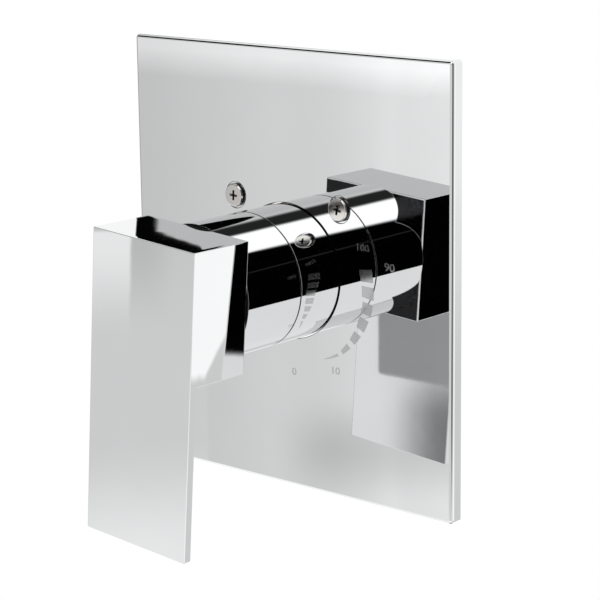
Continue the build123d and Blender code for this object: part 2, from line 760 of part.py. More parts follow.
def make_valve_body():
    """Brass casting with two inlets at the sides and outlets above and below."""
    body = turned(
        (body_front, 0), (body_front, body_thread_radius), (body_thread_end, body_thread_radius),
        (body_thread_end, barrel_radius), (barrel_back - barrel_back_bevel, barrel_radius),
        (barrel_back, barrel_radius - barrel_back_bevel), (barrel_back, 0))
    outlet = (outlet_reach, outlet_passage_radius)
    inlet = (inlet_reach, inlet_passage_radius)
    ports = {0: outlet, 180: outlet, 90: inlet, -90: inlet}
    for turn, (reach, _) in ports.items():
        body += Rot(0, turn, 0) * port_boss(reach)
    for side in (-1, 1):
        boss = rod(stop_boss_radius, stop_boss_front, stop_boss_back, side * stop_offset)
        body += chamfer(boss.edges().sort_by(Axis.Y)[0], casting_bevel)
        body += body_ear(side)
    for turn, (reach, passage) in ports.items():
        body -= Rot(0, turn, 0) * port_bore(reach, passage)
    body -= rod(chamber_radius, body_front, chamber_floor)
    body -= rod(cartridge_flange_radius + slip_gap, body_front, cartridge_shoulder)
    for side in (-1, 1):
        body -= rod(stop_bore_radius, stop_boss_front, stop_bore_floor, side * stop_offset)
        body -= rod(plate_screw_radius + slip_gap, ear_front, ear_back, side * plate_screw_x, plate_screw_z)
    return body


def body_ear(side):
    """Screw boss for the trim plate, with the web that joins it to the barrel."""
    x = side * plate_screw_x
    reach = (plate_screw_x ** 2 + plate_screw_z ** 2) ** 0.5
    web = Pos(reach / 2, (ear_web_front + ear_back) / 2, 0) * Box(reach, ear_back - ear_web_front, ear_web_width)
    slope = Vector(x, 0, plate_screw_z).get_signed_angle(Vector(1, 0, 0), Vector(0, 1, 0))
    return rod(ear_radius, ear_front, ear_back, x, plate_screw_z) + Rot(0, -slope, 0) * web


def make_bonnet_nut():
    """Hexagon nut that clamps the cartridge, with the barrel that carries the sleeve."""
    nut = Pos(0, (nut_lip_front + nut_back) / 2, 0) * Rot(90, 0, 0) * hexagon_bar(
        nut_flats, nut_back - nut_lip_front)
    nut &= rod(nut_corner_radius, nut_lip_front, nut_back)
    nut += rod(bonnet_radius, bonnet_front, nut_lip_front)
    nut -= rod(bonnet_bore_radius, bonnet_front, nut_lip_front)
    nut -= rod(nut_lip_bore_radius, nut_lip_front, nut_back)
    nut -= rod(body_thread_radius + slip_gap, cap_flange_front, nut_back)
    return nut - groove(sleeve_ring_root, 2 * bonnet_radius, sleeve_ring_station, sleeve_ring_groove)


def make_stop_plug(side):
    """Quarter-turn plug valve: a cross hole, a ring groove and a screwdriver slot."""
    x = side * stop_offset
    plug = rod(stop_plug_radius, stop_plug_front, stop_bore_floor - slip_gap, x)
    plug -= cross_rod(stop_plug_hole_radius, x - stop_bore_radius, x + stop_bore_radius, port_setback)
    plug -= groove(stop_ring_root, stop_boss_radius, stop_ring_station, 2 * stop_ring_section + slip_gap, x)
    slot = Box(2 * stop_boss_radius, 2 * stop_slot_depth, stop_slot_width)
    return plug - Pos(x, stop_plug_front, 0) * slot


def make_stop_ring(side):
    return ring_seal(stop_ring_root + seal_gap, stop_ring_section, stop_ring_station, side * stop_offset)


def make_stop_retainers():
    """Threaded rings that keep the stop plugs in, open for a screwdriver."""
    rings = Part()
    for side in (-1, 1):
        x = side * stop_offset
        ring = rod(stop_bore_radius - slip_gap, stop_boss_front, stop_plug_front - slip_gap, x)
        rings += ring - rod(retainer_opening_radius, stop_boss_front, stop_plug_front, x)
    return rings


def make_tub_port_plug():
    low = -outlet_reach
    plug = upright_rod(port_thread_radius - slip_gap, low, low + tub_plug_length, port_setback)
    return plug - Pos(0, port_setback, low) * hexagon_bar(tub_plug_socket, 2 * tub_plug_socket_depth)


pieces = {
    "trim_plate": make_trim_plate(),
    "plate_gasket": make_plate_gasket(),
    "plate_screws": make_plate_screws(),
    "sleeve": make_sleeve(),
    "sleeve_o_ring": make_sleeve_ring(),
    "valve_body": make_valve_body(),
    "bonnet_nut": make_bonnet_nut(),
    "tub_port_plug": make_tub_port_plug(),
    "cartridge_cap": make_cartridge_cap(),
    "cartridge_housing": make_cartridge_housing(),
    "housing_o_rings": make_housing_rings(),
    "inlet_seals": make_inlet_seals(),
    "fixed_disc": make_fixed_disc(),
    "disc_seal": make_disc_seal(),
    "balance_sleeve": make_balance_sleeve(),
    "balance_sleeve_o_rings": make_balance_rings(),
    "balance_clips": make_balance_clips(),
    "balance_spool": make_balance_spool(),
    "handle_lever": make_handle_lever(),
    "handle_skirt": make_handle_skirt(),
    "skirt_screws": make_skirt_screws(),
    "handle_set_screw": make_handle_set_screw(),
    "stem_adapter": make_stem_adapter(),
    "adapter_screw": make_adapter_screw(),
    "stem": make_stem(),
    "stem_o_rings": make_stem_rings(),
    "stem_washer": make_stem_washer(),
    "limit_stop_ring": make_limit_ring(),
    "moving_disc": make_moving_disc(),
    "stop_retainers": make_stop_retainers(),
    "hot_stop_plug": make_stop_plug(-1),
    "hot_stop_o_ring": make_stop_ring(-1),
    "cold_stop_plug": make_stop_plug(1),
    "cold_stop_o_ring": make_stop_ring(1),
}

os.makedirs("parts", exist_ok=True)
for node, solid in pieces.items():
    export_step(solid, f"parts/{node}.step")
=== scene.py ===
import json
import math

import bmesh
import bpy
from mathutils import Matrix, Vector


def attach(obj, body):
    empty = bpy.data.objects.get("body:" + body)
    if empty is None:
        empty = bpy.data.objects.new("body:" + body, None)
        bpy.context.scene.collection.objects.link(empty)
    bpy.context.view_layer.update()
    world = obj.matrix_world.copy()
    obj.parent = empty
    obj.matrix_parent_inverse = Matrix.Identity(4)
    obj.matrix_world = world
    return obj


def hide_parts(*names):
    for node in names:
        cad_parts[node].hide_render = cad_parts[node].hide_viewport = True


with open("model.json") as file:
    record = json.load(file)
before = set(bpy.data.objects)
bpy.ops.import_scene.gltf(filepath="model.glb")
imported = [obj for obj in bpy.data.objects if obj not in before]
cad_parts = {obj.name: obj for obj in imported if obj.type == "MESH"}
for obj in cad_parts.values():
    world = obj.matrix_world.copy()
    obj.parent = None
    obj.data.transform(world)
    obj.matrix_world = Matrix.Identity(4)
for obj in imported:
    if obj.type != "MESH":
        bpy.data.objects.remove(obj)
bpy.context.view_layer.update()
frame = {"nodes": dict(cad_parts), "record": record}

MM = 0.001

# Trim plate, millimetres
PLATE_WIDTH, PLATE_HEIGHT, PLATE_DEPTH, PLATE_SHEET = 160.0, 174.0, 5.5, 1.2
PLATE_CORNER, PLATE_EDGE = 1.7, 1.5
PLATE_FACE = -PLATE_DEPTH
CENTRE_HOLE = 26.75
COLLAR_DEPTH = 2.4
SCREW_X, SCREW_Z = 26.5, 27.0
DIMPLE_RADIUS, DIMPLE_DEPTH, SCREW_HOLE = 5.2, 0.5, 2.8

# Plate screws
SCREW_SHANK, SCREW_END = 2.4, 43.0
SCREW_HEAD_RADIUS, SCREW_HEAD_HEIGHT = 4.65, 1.9
RECESS_REACH, RECESS_WIDTH, RECESS_DEPTH = 2.1, 1.0, 1.7

# Sleeve, skirt and lever
TUBE_RADIUS = 26.4
SLEEVE_FRONT, SLEEVE_BACK, SLEEVE_WALL, SLEEVE_RETURN = -27.5, -2.5, 1.2, 1.6
SKIRT_BACK, SKIRT_WALL, SKIRT_WEB, SKIRT_BORE = -28.1, 2.0, 3.0, 9.6
HUB_BACK, HUB_FRONT = -57.0, -85.7
HUB_WIDTH, HUB_TOP, HUB_BOTTOM = 51.0, 25.4, -25.0
LEVER_BACK, LEVER_BOTTOM = -82.4, -92.2
HANDLE_TILT = math.radians(4.3)
CROWN, CROWN_RIM = 0.03, 1.8
POCKET_RADIUS, POCKET_FLOOR, BOSS_RADIUS = 22.5, -78.0, 14.0
ADAPTER_BORE, ADAPTER_FLOOR = 9.6, -66.1
POST_OFFSET, POST_RADIUS, POST_BORE, POST_FLOOR = 18.25, 3.6, 1.6, -68.0
SET_SCREW_BORE, SET_SCREW_STATION = 2.6, -61.5

# Valve body, in the wall
PORTS, CHAMBER_RADIUS, CHAMBER_FLOOR = 62.0, 18.0, 79.0
BODY_FRONT, BODY_THREAD, BODY_THREAD_END = 21.0, 23.5, 36.0
FLANGE_BORE, FLANGE_SEAT = 20.6, 28.0
BARREL_RADIUS, BARREL_BACK, BARREL_BEVEL = 22.6, 84.0, 3.0
INLET_REACH, OUTLET_REACH = 56.0, 54.0
PORT_BOSS, PORT_RIM, PORT_RIM_LENGTH = 14.0, 15.6, 5.0
PORT_THREAD, PORT_THREAD_LENGTH, INLET_PASSAGE, OUTLET_PASSAGE = 9.9, 16.0, 5.5, 7.0
STOP_X, STOP_BOSS, STOP_BORE, STOP_FRONT, STOP_BACK, STOP_FLOOR = 31.0, 10.5, 7.5, 37.0, 73.0, 69.5
EAR_RADIUS, EAR_FRONT, EAR_BACK, EAR_WEB_FRONT, EAR_WEB, EAR_BORE = 6.0, 30.0, 46.0, 35.0, 9.0, 2.5

# Threads: pitches, and the depths of those whose root isn't a stated size
SCREW_PITCH, BODY_PITCH, PIPE_PITCH = 0.8, 1.5, 1.81
SCREW_THREAD_DEPTH, BODY_THREAD_DEPTH, PLUG_THREAD_DEPTH, INSIDE_THREAD_DEPTH = 0.34, 0.4, 0.5, 0.35
PORT_THREAD_CREST = 0.45

# Sand casting: the grid that softens its corners, how often they are smoothed, and the faces that are kept
CASTING_GRID, CASTING_SMOOTHING, CASTING_KEPT = 0.85, 10, 0.28
FACING_SPARE = 1.5

# Bonnet nut, stop retainers and tub port plug
NUT_FRONT, NUT_BACK, NUT_FLATS, NUT_CORNER, NUT_LIP_BORE, NUT_SEAT = 14.0, 33.0, 52.0, 28.6, 12.4, 20.0
BONNET_FRONT, BONNET_RADIUS, BONNET_BORE = -20.0, 24.2, 21.0
RING_STATION, RING_ROOT, RING_GROOVE = -13.0, 22.6, 2.94
RETAINER_RADIUS, RETAINER_OPENING, RETAINER_BACK = 7.4, 4.6, 40.9
TUB_PLUG_RADIUS, TUB_PLUG_LENGTH, TUB_PLUG_SOCKET, TUB_PLUG_DEPTH = 9.8, 14.0, 9.5, 8.0

# Dial on the plate: each figure with its centre and height, and the tapered segments of its scale.
# A segment has the angle, inner radius and outer radius of its first side and of its last.
# Angles run from straight down towards +X.
FIGURES = [("0", 2.8, -40.1, 2.9), ("10", 23.8, -36.4, 2.9), ("90", 50.6, 7.6, 3.1), ("100", 37.5, 13.6, 2.7)]
SEGMENTS = [
    ((98.0, 36.4, 42.5), (91.0, 36.8, 42.8)),
    ((88.5, 37.2, 43.0), (82.0, 37.6, 43.3)),
    ((79.5, 38.3, 43.5), (73.0, 38.5, 43.4)),
    ((70.3, 38.5, 43.0), (63.4, 38.5, 42.6)),
    ((60.4, 38.5, 42.2), (53.8, 38.5, 41.5)),
    ((50.3, 38.5, 41.0), (43.6, 38.5, 40.3)),
    ((40.2, 38.4, 39.6), (29.5, 37.2, 37.45)),
]
MARK_FRONT, MARK_BACK = -5.53, -5.45
CAPITAL_HEIGHT, FIGURE_STRETCH = 0.73, 1.2

# Chrome: its tone, its buffing haze, and the near-black of the painted shade laid on faces that lie in shade
CHROME_TONE, CHROME_HAZE = 0.74, 0.014
PAINTED_SHADE_COLOUR = (0.02, 0.02, 0.021)


# ---------------------------------------------------------------- modelling

def deselect():
    if bpy.context.object and bpy.context.object.mode != "OBJECT":
        bpy.ops.object.mode_set(mode="OBJECT")
    bpy.ops.object.select_all(action="DESELECT")


def pick(piece):
    deselect()
    piece.select_set(True)
    bpy.context.view_layer.objects.active = piece


def at(x, y, z):
    return Vector((x, y, z)) * MM


def named(name):
    piece = bpy.context.object
    piece.name = piece.data.name = name
    return piece


def settled(piece):
    """The piece's place, turn and size go into its mesh."""
    pick(piece)
    bpy.ops.object.transform_apply(location=True, rotation=True, scale=True)
    return piece


def modify(piece, kind, **settings):
    pick(piece)
    modifier = piece.modifiers.new(kind.title(), kind)
    for key, value in settings.items():
        setattr(modifier, key, value)
    bpy.ops.object.modifier_apply(modifier=modifier.name)
    return piece


def block(name, low, high):
    """A box between two corners, in millimetres."""
    deselect()
    low, high = at(*low), at(*high)
    bpy.ops.mesh.primitive_cube_add(size=1, location=(low + high) / 2)
    piece = named(name)
    piece.scale = high - low
    return settled(piece)


def rod(name, radius, front, back, x=0.0, z=0.0, sides=128):
    """A cylinder along the valve's axis, between two stations."""
    deselect()
    bpy.ops.mesh.primitive_cylinder_add(
        vertices=sides, radius=radius * MM, depth=(back - front) * MM,
        location=at(x, (front + back) / 2, z), rotation=(math.pi / 2, 0, 0))
    return settled(named(name))


def drawn(name, corners, closed=True):
    """Draw a line from corner to corner, and stay in edit mode."""
    deselect()
    bpy.ops.mesh.primitive_plane_add(size=MM, location=corners[0])
    piece = settled(named(name))
    bpy.ops.object.mode_set(mode="EDIT")
    bpy.ops.mesh.select_mode(type="VERT")
    bpy.ops.mesh.select_all(action="SELECT")
    bpy.ops.mesh.merge(type="CENTER")
    for before, after in zip(corners, corners[1:]):
        bpy.ops.mesh.extrude_vertices_move(TRANSFORM_OT_translate={"value": after - before})
    if closed:
        ends = corners[0], corners[-1]
        choose(piece, "verts", lambda vertex: min((vertex.co - end).length for end in ends) < 1e-7)
        bpy.ops.mesh.edge_face_add()
    bpy.ops.mesh.select_all(action="SELECT")
    return piece


def choose(piece, kind, wanted):
    """Select the vertices, edges or faces for which wanted is true."""
    bpy.ops.mesh.select_mode(type={"verts": "VERT", "edges": "EDGE", "faces": "FACE"}[kind])
    bpy.ops.mesh.select_all(action="DESELECT")
    edit = bmesh.from_edit_mesh(piece.data)
    for element in getattr(edit, kind):
        if wanted(element):
            element.select_set(True)
    bmesh.update_edit_mesh(piece.data)


def bar(name, outline, left, right):
    """Fill an outline of (station, height) corners and extrude it from left to right."""
    piece = drawn(name, [at(left, station, height) for station, height in outline])
    bpy.ops.mesh.edge_face_add()
    bpy.ops.mesh.extrude_region_move(TRANSFORM_OT_translate={"value": at(right - left, 0, 0)})
    bpy.ops.mesh.select_all(action="SELECT")
    bpy.ops.mesh.normals_make_consistent(inside=False)
    bpy.ops.object.mode_set(mode="OBJECT")
    return piece


def turned(name, outline, x=0.0, z=0.0, steps=128, closed=True):
    """Spin an outline of (station, radius) corners about an axis along Y."""
    piece = drawn(name, [at(x + radius, station, z) for station, radius in outline], closed)
    bpy.ops.mesh.spin(steps=steps, angle=2 * math.pi, center=at(x, 0, z), axis=(0, 1, 0))
    bpy.ops.mesh.select_all(action="SELECT")
    bpy.ops.mesh.remove_doubles(threshold=0.002 * MM)
    bpy.ops.mesh.normals_make_consistent(inside=False)
    bpy.ops.object.mode_set(mode="OBJECT")
    return piece


def cut(piece, *tools):
    """Subtract each tool from the piece."""
    for tool in tools:
        modify(piece, "BOOLEAN", operation="DIFFERENCE", object=tool, solver="EXACT")
        bpy.data.objects.remove(tool)
    return piece


def add(piece, *others):
    for other in others:
        modify(piece, "BOOLEAN", operation="UNION", object=other, solver="EXACT")
        bpy.data.objects.remove(other)
    return piece


def eased(piece, width, segments=3, angle=35.0):
    """Round the piece's hard edges."""
    return modify(piece, "BEVEL", width=width * MM, segments=segments, limit_method="ANGLE",
                  angle_limit=math.radians(angle), miter_outer="MITER_ARC")


def polished(piece, angle=40.0):
    """Faces outward, and smooth shading that keeps flat faces flat."""
    pick(piece)
    bpy.ops.object.mode_set(mode="EDIT")
    bpy.ops.mesh.select_all(action="SELECT")
    bpy.ops.mesh.normals_make_consistent(inside=False)
    bpy.ops.object.mode_set(mode="OBJECT")
    bpy.ops.object.shade_smooth_by_angle(angle=math.radians(angle))
    return modify(piece, "WEIGHTED_NORMAL", weight=100, keep_sharp=True)


def copied(piece, name, x=0.0, y=0.0, z=0.0):
    """A second piece with a mesh of its own, moved by millimetres."""
    pick(piece)
    bpy.ops.object.duplicate(linked=False)
    other = named(name)
    other.location = at(x, y, z)
    return settled(other)


def joined(name, *pieces):
    """Separate closed shells as one piece."""
    deselect()
    for piece in pieces:
        piece.select_set(True)
    bpy.context.view_layer.objects.active = pieces[0]
    bpy.ops.object.join()
    return named(name)


def tile(name, corners, front, back):
    """A flat-faced mark between two stations, from (x, z) corners."""
    piece = drawn(name, [at(x, back, z) for x, z in corners])
    bpy.ops.mesh.edge_face_add()
    bpy.ops.mesh.extrude_region_move(TRANSFORM_OT_translate={"value": at(0, front - back, 0)})
    bpy.ops.mesh.select_all(action="SELECT")
    bpy.ops.mesh.normals_make_consistent(inside=False)
    bpy.ops.object.mode_set(mode="OBJECT")
    return piece


def thread(name, root, crest, pitch, front, back, steps=28):
    """A helical ridge about Y, from its root radius to its crest radius, between two stations."""
    foot = root - math.copysign(0.15, crest - root)
    ridge = drawn(name, [at(foot, front, 0), at(crest, front + pitch * 0.42, 0), at(crest, front + pitch * 0.5, 0),
                         at(foot, front + pitch * 0.92, 0)])
    bpy.ops.object.mode_set(mode="OBJECT")
    turns = int((back - front) / pitch) - 1
    modify(ridge, "SCREW", axis="Y", angle=2 * math.pi, screw_offset=pitch * MM, iterations=turns,
           steps=steps, render_steps=steps)
    bpy.ops.object.mode_set(mode="EDIT")
    bpy.ops.mesh.select_all(action="SELECT")
    bpy.ops.mesh.fill_holes(sides=4)
    bpy.ops.mesh.select_all(action="SELECT")
    bpy.ops.mesh.normals_make_consistent(inside=False)
    bpy.ops.object.mode_set(mode="OBJECT")
    return ridge


def turned_about(piece, degrees, axis):
    """Turn a piece about an axis through the origin."""
    piece.data.transform(Matrix.Rotation(math.radians(degrees), 4, axis))
    return piece


def tilted(piece):
    """Turn a piece of the handle about the valve's axis, to where it rests."""
    piece.data.transform(Matrix.Rotation(HANDLE_TILT, 4, "Y"))
    return piece


# ---------------------------------------------------------------- finishes

class Term:
    """A socket of a finish; sums and products of terms add Math nodes."""

    def __init__(self, finish, socket):
        self.finish, self.socket = finish, socket

    def math(self, operation, *values):
        return self.finish.node("ShaderNodeMath", {"operation": operation}, dict(enumerate(values)))

    def __add__(self, other):
        return self.math("ADD", self, other)

    def __sub__(self, other):
        return self.math("SUBTRACT", self, other)

    def __rsub__(self, other):
        return self.math("SUBTRACT", other, self)

    def __mul__(self, other):
        return self.math("MULTIPLY", self, other)

    def __truediv__(self, other):
        return self.math("DIVIDE", self, other)

    def __pow__(self, other):
        return self.math("POWER", self, other)

    __radd__ = __add__
    __rmul__ = __mul__

    def size(self):
        return self.math("ABSOLUTE", self)

    def at_least(self, low):
        return self.math("MAXIMUM", self, low)

    def between(self, low, high):
        """Smoothly from 0 at low to 1 at high."""
        return self.finish.node("ShaderNodeMapRange", {"interpolation_type": "SMOOTHSTEP"},
                                {0: self, 1: low, 2: high})

    def ramp(self, low, high):
        """Evenly from 0 at low to 1 at high."""
        return self.finish.node("ShaderNodeMapRange", {}, {0: self, 1: low, 2: high})

    def within(self, low, high, edge):
        """1 from low to high, with soft edges half inside and half outside."""
        half = edge / 2
        return self.between(low - half, low + half) * (1 - self.between(high - half, high + half))


class Finish:
    """A material built from nodes on the piece's own coordinates."""

    def __init__(self, name, **constants):
        self.material = bpy.data.materials.new(name)
        self.material.use_nodes = True
        self.tree = self.material.node_tree
        self.surface = self.tree.nodes["Principled BSDF"]
        self.place = self.node("ShaderNodeTexCoord", {}, {}, "Object")
        self.feed({key.replace("_", " ").title(): value for key, value in constants.items()})

    def node(self, kind, settings, sockets, output=0):
        made = self.tree.nodes.new(kind)
        for key, value in settings.items():
            setattr(made, key, value)
        for key, value in sockets.items():
            if isinstance(value, Term):
                self.tree.links.new(value.socket, made.inputs[key])
            else:
                made.inputs[key].default_value = value
        return Term(self, made.outputs[output])

    def feed(self, values):
        for key, value in values.items():
            if isinstance(value, Term):
                self.tree.links.new(value.socket, self.surface.inputs[key])
            elif key == "Base Color":
                self.surface.inputs[key].default_value = (*value, 1.0)
            else:
                self.surface.inputs[key].default_value = value
        return self

    def noise(self, scale, detail=3.0, roughness=0.5):
        return self.node("ShaderNodeTexNoise", {}, {"Vector": self.place, "Scale": scale,
                                                    "Detail": detail, "Roughness": roughness})

    def blend(self, mask, first, second):
        """Colour that goes from first to second as the mask goes from 0 to 1."""
        ends = [end if isinstance(end, Term) else (*end, 1.0) for end in (first, second)]
        return self.node("ShaderNodeMix", {"data_type": "RGBA"}, {0: mask, 6: ends[0], 7: ends[1]}, 2)

    def bump(self, height, strength, distance):
        self.feed({"Normal": self.node("ShaderNodeBump", {}, {"Height": height, "Strength": strength,
                                                               "Distance": distance * MM})})
        return self

    def part(self, axis, vector=None):
        """One of the object coordinates, in metres, or of another vector."""
        return self.node("ShaderNodeSeparateXYZ", {}, {0: vector or self.place}, axis)

    def parts(self):
        return [self.part(axis) for axis in "XYZ"]

    def span(self, first, second):
        """Length of a flat vector with these two parts."""
        flat = self.node("ShaderNodeCombineXYZ", {}, {0: first, 1: second})
        return self.node("ShaderNodeVectorMath", {"operation": "LENGTH"}, {0: flat}, "Value")

    def reach(self):
        """Distance from the valve's axis, in metres."""
        return self.span(self.part("X"), self.part("Z"))

    def facing(self):
        """1 where the surface faces the wall, -1 where it faces the user."""
        return self.part("Y", self.node("ShaderNodeTexCoord", {}, {}, "Normal"))


def chrome(name="polished_chrome", painted_shade=None, satin=None):
    """Bright plating: a little buffing haze, and a surface that is never quite flat.

    The shade mask and satin take the finish and give a mask. The shade mask is 1 where the plating is
    painted near-black as shade, and satin is 1 where the sheet was plated without being polished.
    """
    finish = Finish(name, metallic=1.0)
    cloud = finish.noise(38.0, 2.0)
    darker, lighter = ([CHROME_TONE + shift for shift in shifts] for shifts in (
        (-0.02, -0.015, -0.01), (0.015, 0.02, 0.025)))
    colour = finish.blend(cloud, darker, lighter)
    rough = finish.noise(120.0, 4.0) * CHROME_HAZE + 0.004
    # Painted shade: near-black colour, and a little more roughness, where the shade mask is 1
    if painted_shade:
        mask = painted_shade(finish)
        colour = finish.blend(mask, colour, PAINTED_SHADE_COLOUR)
        rough = rough + mask * 0.12
    if satin:
        mask = satin(finish)
        colour = finish.blend(mask, colour, (0.42, 0.42, 0.43))
        rough = rough + mask * (finish.noise(700.0, 3.0) * 0.1 + 0.27)
    finish.feed({"Base Color": colour, "Roughness": rough})
    waves = finish.noise(22.0, 1.0) * 0.8 + finish.noise(90.0, 1.0) * 0.2
    return finish.bump(waves, 0.05, 0.3).material


def hub_back_painted_shade(finish):
    """Painted shade on the back of the hub, and more lightly on the back of the blade."""
    hub = finish.part("Y").between((HUB_BACK - 3) * MM, (HUB_BACK - 1) * MM)
    return finish.facing().between(0.9, 0.98) * (hub * 0.64 + 0.34)


def groove_painted_shade(finish):
    """Painted shade on the ends and inside of the sleeve and skirt, where they face each other across the groove."""
    end = finish.facing().size()
    inner = finish.reach().between((TUBE_RADIUS - 0.6) * MM, (TUBE_RADIUS - 0.3) * MM)
    return 1 - inner * (1 - end.between(0.35, 0.7))


def hole_painted_shade(finish):
    """Painted shade on the wall of the plate's centre hole, in the gap round the sleeve."""
    return 1 - finish.reach().between((CENTRE_HOLE + 0.1) * MM, (CENTRE_HOLE + 0.3) * MM)


def sheet_back(finish):
    """The plate's unpolished back."""
    inside = finish.part("Y").between((PLATE_FACE + 0.9) * MM, (PLATE_FACE + 1.1) * MM)
    return inside * finish.facing().between(0.3, 0.7)


def etched():
    """Frosted marks in the plating."""
    finish = Finish("etched_marks", metallic=0.97)
    grain = finish.noise(2600.0, 2.0)
    finish.feed({"Base Color": finish.blend(grain, (0.47, 0.47, 0.475), (0.57, 0.57, 0.575)),
                 "Roughness": grain * 0.06 + 0.11})
    return finish.material


def screw_plate():
    """Warm barrel plating of the screws, a little rough from the tumbling, and near-black painted shade down the
    flanks of the heads.
    """
    finish = Finish("chromed_screw", metallic=1.0)
    grain = finish.noise(900.0, 3.0)
    head = 1 - finish.part("Y").between((PLATE_FACE + 0.2) * MM, (PLATE_FACE + 0.6) * MM)
    # Painted shade: near-black on the sides of the heads
    flank_painted_shade = finish.facing().between(-0.75, -0.45) * head
    bright = finish.blend(grain, (0.55, 0.53, 0.505), (0.63, 0.61, 0.585))
    finish.feed({"Base Color": finish.blend(flank_painted_shade, bright, (0.03, 0.03, 0.031)),
                 "Roughness": grain * 0.08 + 0.10})
    return finish.bump(grain, 0.15, 0.02).material


def cast_brass(machined):
    """Sand-cast skin, matte and grainy, and bright turned faces where the casting was machined."""
    finish = Finish("cast_brass", metallic=1.0)
    grain = finish.noise(900.0, 4.0, 0.6)
    patch = finish.noise(45.0, 3.0)
    bright = machined(finish)
    worn = finish.blend(patch, (0.44, 0.33, 0.16), (0.60, 0.46, 0.23))
    skin = finish.blend(grain.between(0.3, 0.65), (0.34, 0.255, 0.125), worn)
    finish.feed({"Base Color": finish.blend(bright, skin, (0.74, 0.57, 0.29)),
                 "Roughness": (grain * 0.25 + 0.38) * (1 - bright) + bright * 0.2})
    return finish.bump(grain * (1 - bright), 0.5, 0.35).material


def machined_faces(finish):
    """Mouths and bores of the ports, the front of the barrel and the chamber."""
    x, y, z = finish.parts()
    across, up, deep = x.size(), z.size(), y - PORTS * MM
    mouths = sum((axis.between((reach - 0.3) * MM, (reach - 0.1) * MM)
                  for axis, reach in ((across, INLET_REACH), (up, OUTLET_REACH))), 0.0)
    bores = sum(((1 - finish.span(deep, side).between((PORT_THREAD + 0.9) * MM, (PORT_THREAD + 1.1) * MM))
                 * axis.between(floor * MM, (floor + soft) * MM)
                 for side, axis, floor, soft in ((z, across, 38.5, 0.5), (x, up, 34.0, 1.0))), 0.0)
    reach = finish.reach()
    front = (1 - y.between((BODY_THREAD_END - 0.1) * MM, (BODY_THREAD_END + 0.1) * MM)) \
        * (1 - reach.between(28.5 * MM, 29.0 * MM))
    chamber = (1 - reach.between((FLANGE_BORE + 0.1) * MM, (FLANGE_BORE + 0.3) * MM)) \
        * (1 - y.between((CHAMBER_FLOOR + 0.2) * MM, (CHAMBER_FLOOR + 0.5) * MM))
    return finish.node("ShaderNodeMath", {"operation": "ADD", "use_clamp": True},
                       {0: mouths + bores, 1: front + chamber})


def turned_brass():
    finish = Finish("turned_brass", metallic=1.0)
    rings = finish.node("ShaderNodeTexNoise", {"noise_dimensions": "1D"},
                        {"W": finish.part("Y"), "Scale": 4000.0, "Detail": 2.0})
    patch = finish.noise(60.0, 2.0)
    finish.feed({"Base Color": finish.blend(patch, (0.66, 0.50, 0.24), (0.78, 0.60, 0.31)),
                 "Roughness": rings * 0.12 + 0.16})
    return finish.bump(rings, 0.35, 0.04).material


def stainless():
    finish = Finish("stainless_steel", metallic=1.0)
    grain = finish.noise(1400.0, 3.0)
    finish.feed({"Base Color": finish.blend(grain, (0.52, 0.52, 0.51), (0.64, 0.64, 0.62)),
                 "Roughness": grain * 0.15 + 0.22})
    return finish.bump(grain, 0.2, 0.03).material


def plastic(name, dark, light, gloss):
    """Moulded acetal: even colour, a soft gloss and a faint mould grain."""
    finish = Finish(name, metallic=0.0)
    grain = finish.noise(2200.0, 3.0)
    flow = finish.noise(70.0, 2.0)
    finish.feed({"Base Color": finish.blend(flow, dark, light), "Roughness": grain * 0.12 + gloss})
    return finish.bump(grain, 0.2, 0.03).material


def foam():
    finish = Finish("grey_foam", metallic=0.0)
    cells = finish.node("ShaderNodeTexVoronoi", {}, {"Vector": finish.place, "Scale": 1400.0})
    finish.feed({"Base Color": finish.blend(cells, (0.10, 0.10, 0.105), (0.24, 0.24, 0.245)),
                 "Roughness": cells * 0.1 + 0.85})
    return finish.bump(cells, 0.8, 0.3).material


FINISHES = {
    "polished_chrome": chrome(),
    "chromed_screw": screw_plate(),
    "cast_brass": cast_brass(machined_faces),
    "turned_brass": turned_brass(),
    "stainless_steel": stainless(),
    "white_acetal": plastic("white_acetal", (0.74, 0.73, 0.69), (0.80, 0.79, 0.75), 0.35),
    "red_acetal": plastic("red_acetal", (0.50, 0.03, 0.02), (0.58, 0.05, 0.03), 0.32),
    "alumina_ceramic": plastic("alumina_ceramic", (0.78, 0.77, 0.72), (0.85, 0.84, 0.80), 0.18),
    "black_rubber": plastic("black_rubber", (0.012, 0.012, 0.013), (0.022, 0.022, 0.023), 0.5),
    "grey_foam": foam(),
}


# Chrome with painted shade: on the lever's back, on the groove's walls, and on the wall of the plate's hole
LEVER_CHROME = chrome("lever_chrome", painted_shade=hub_back_painted_shade)
TUBE_CHROME = chrome("tube_chrome", painted_shade=groove_painted_shade)
PLATE_CHROME = chrome("plate_chrome", painted_shade=hole_painted_shade, satin=sheet_back)
ETCHED = etched()


def finished(piece, slot, body, *nodes, material=None):
    """Give a new piece its finish, its body, and the nodes that it stands for."""
    piece.data.materials.clear()
    piece.data.materials.append(material or FINISHES[slot])
    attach(piece, body)
    if nodes:
        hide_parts(*nodes)
    return piece


# ---------------------------------------------------------------- camera and studio

def place_camera():
    data = bpy.data.cameras.new("camera")
    data.sensor_fit, data.sensor_width, data.lens = "HORIZONTAL", 36.0, 132.066
    camera = bpy.data.objects.new("camera", data)
    bpy.context.scene.collection.objects.link(camera)
    right = Vector((0.75589, 0.65458, -0.01245))
    up = Vector((-0.13778, 0.17763, 0.9744))
    turn = Matrix((right, up, right.cross(up))).transposed().to_4x4()
    camera.matrix_world = Matrix.Translation(at(551.68, -631.68, 180.45)) @ turn
    camera.data.clip_start, camera.data.clip_end = 0.01, 50.0
    bpy.context.scene.camera = camera


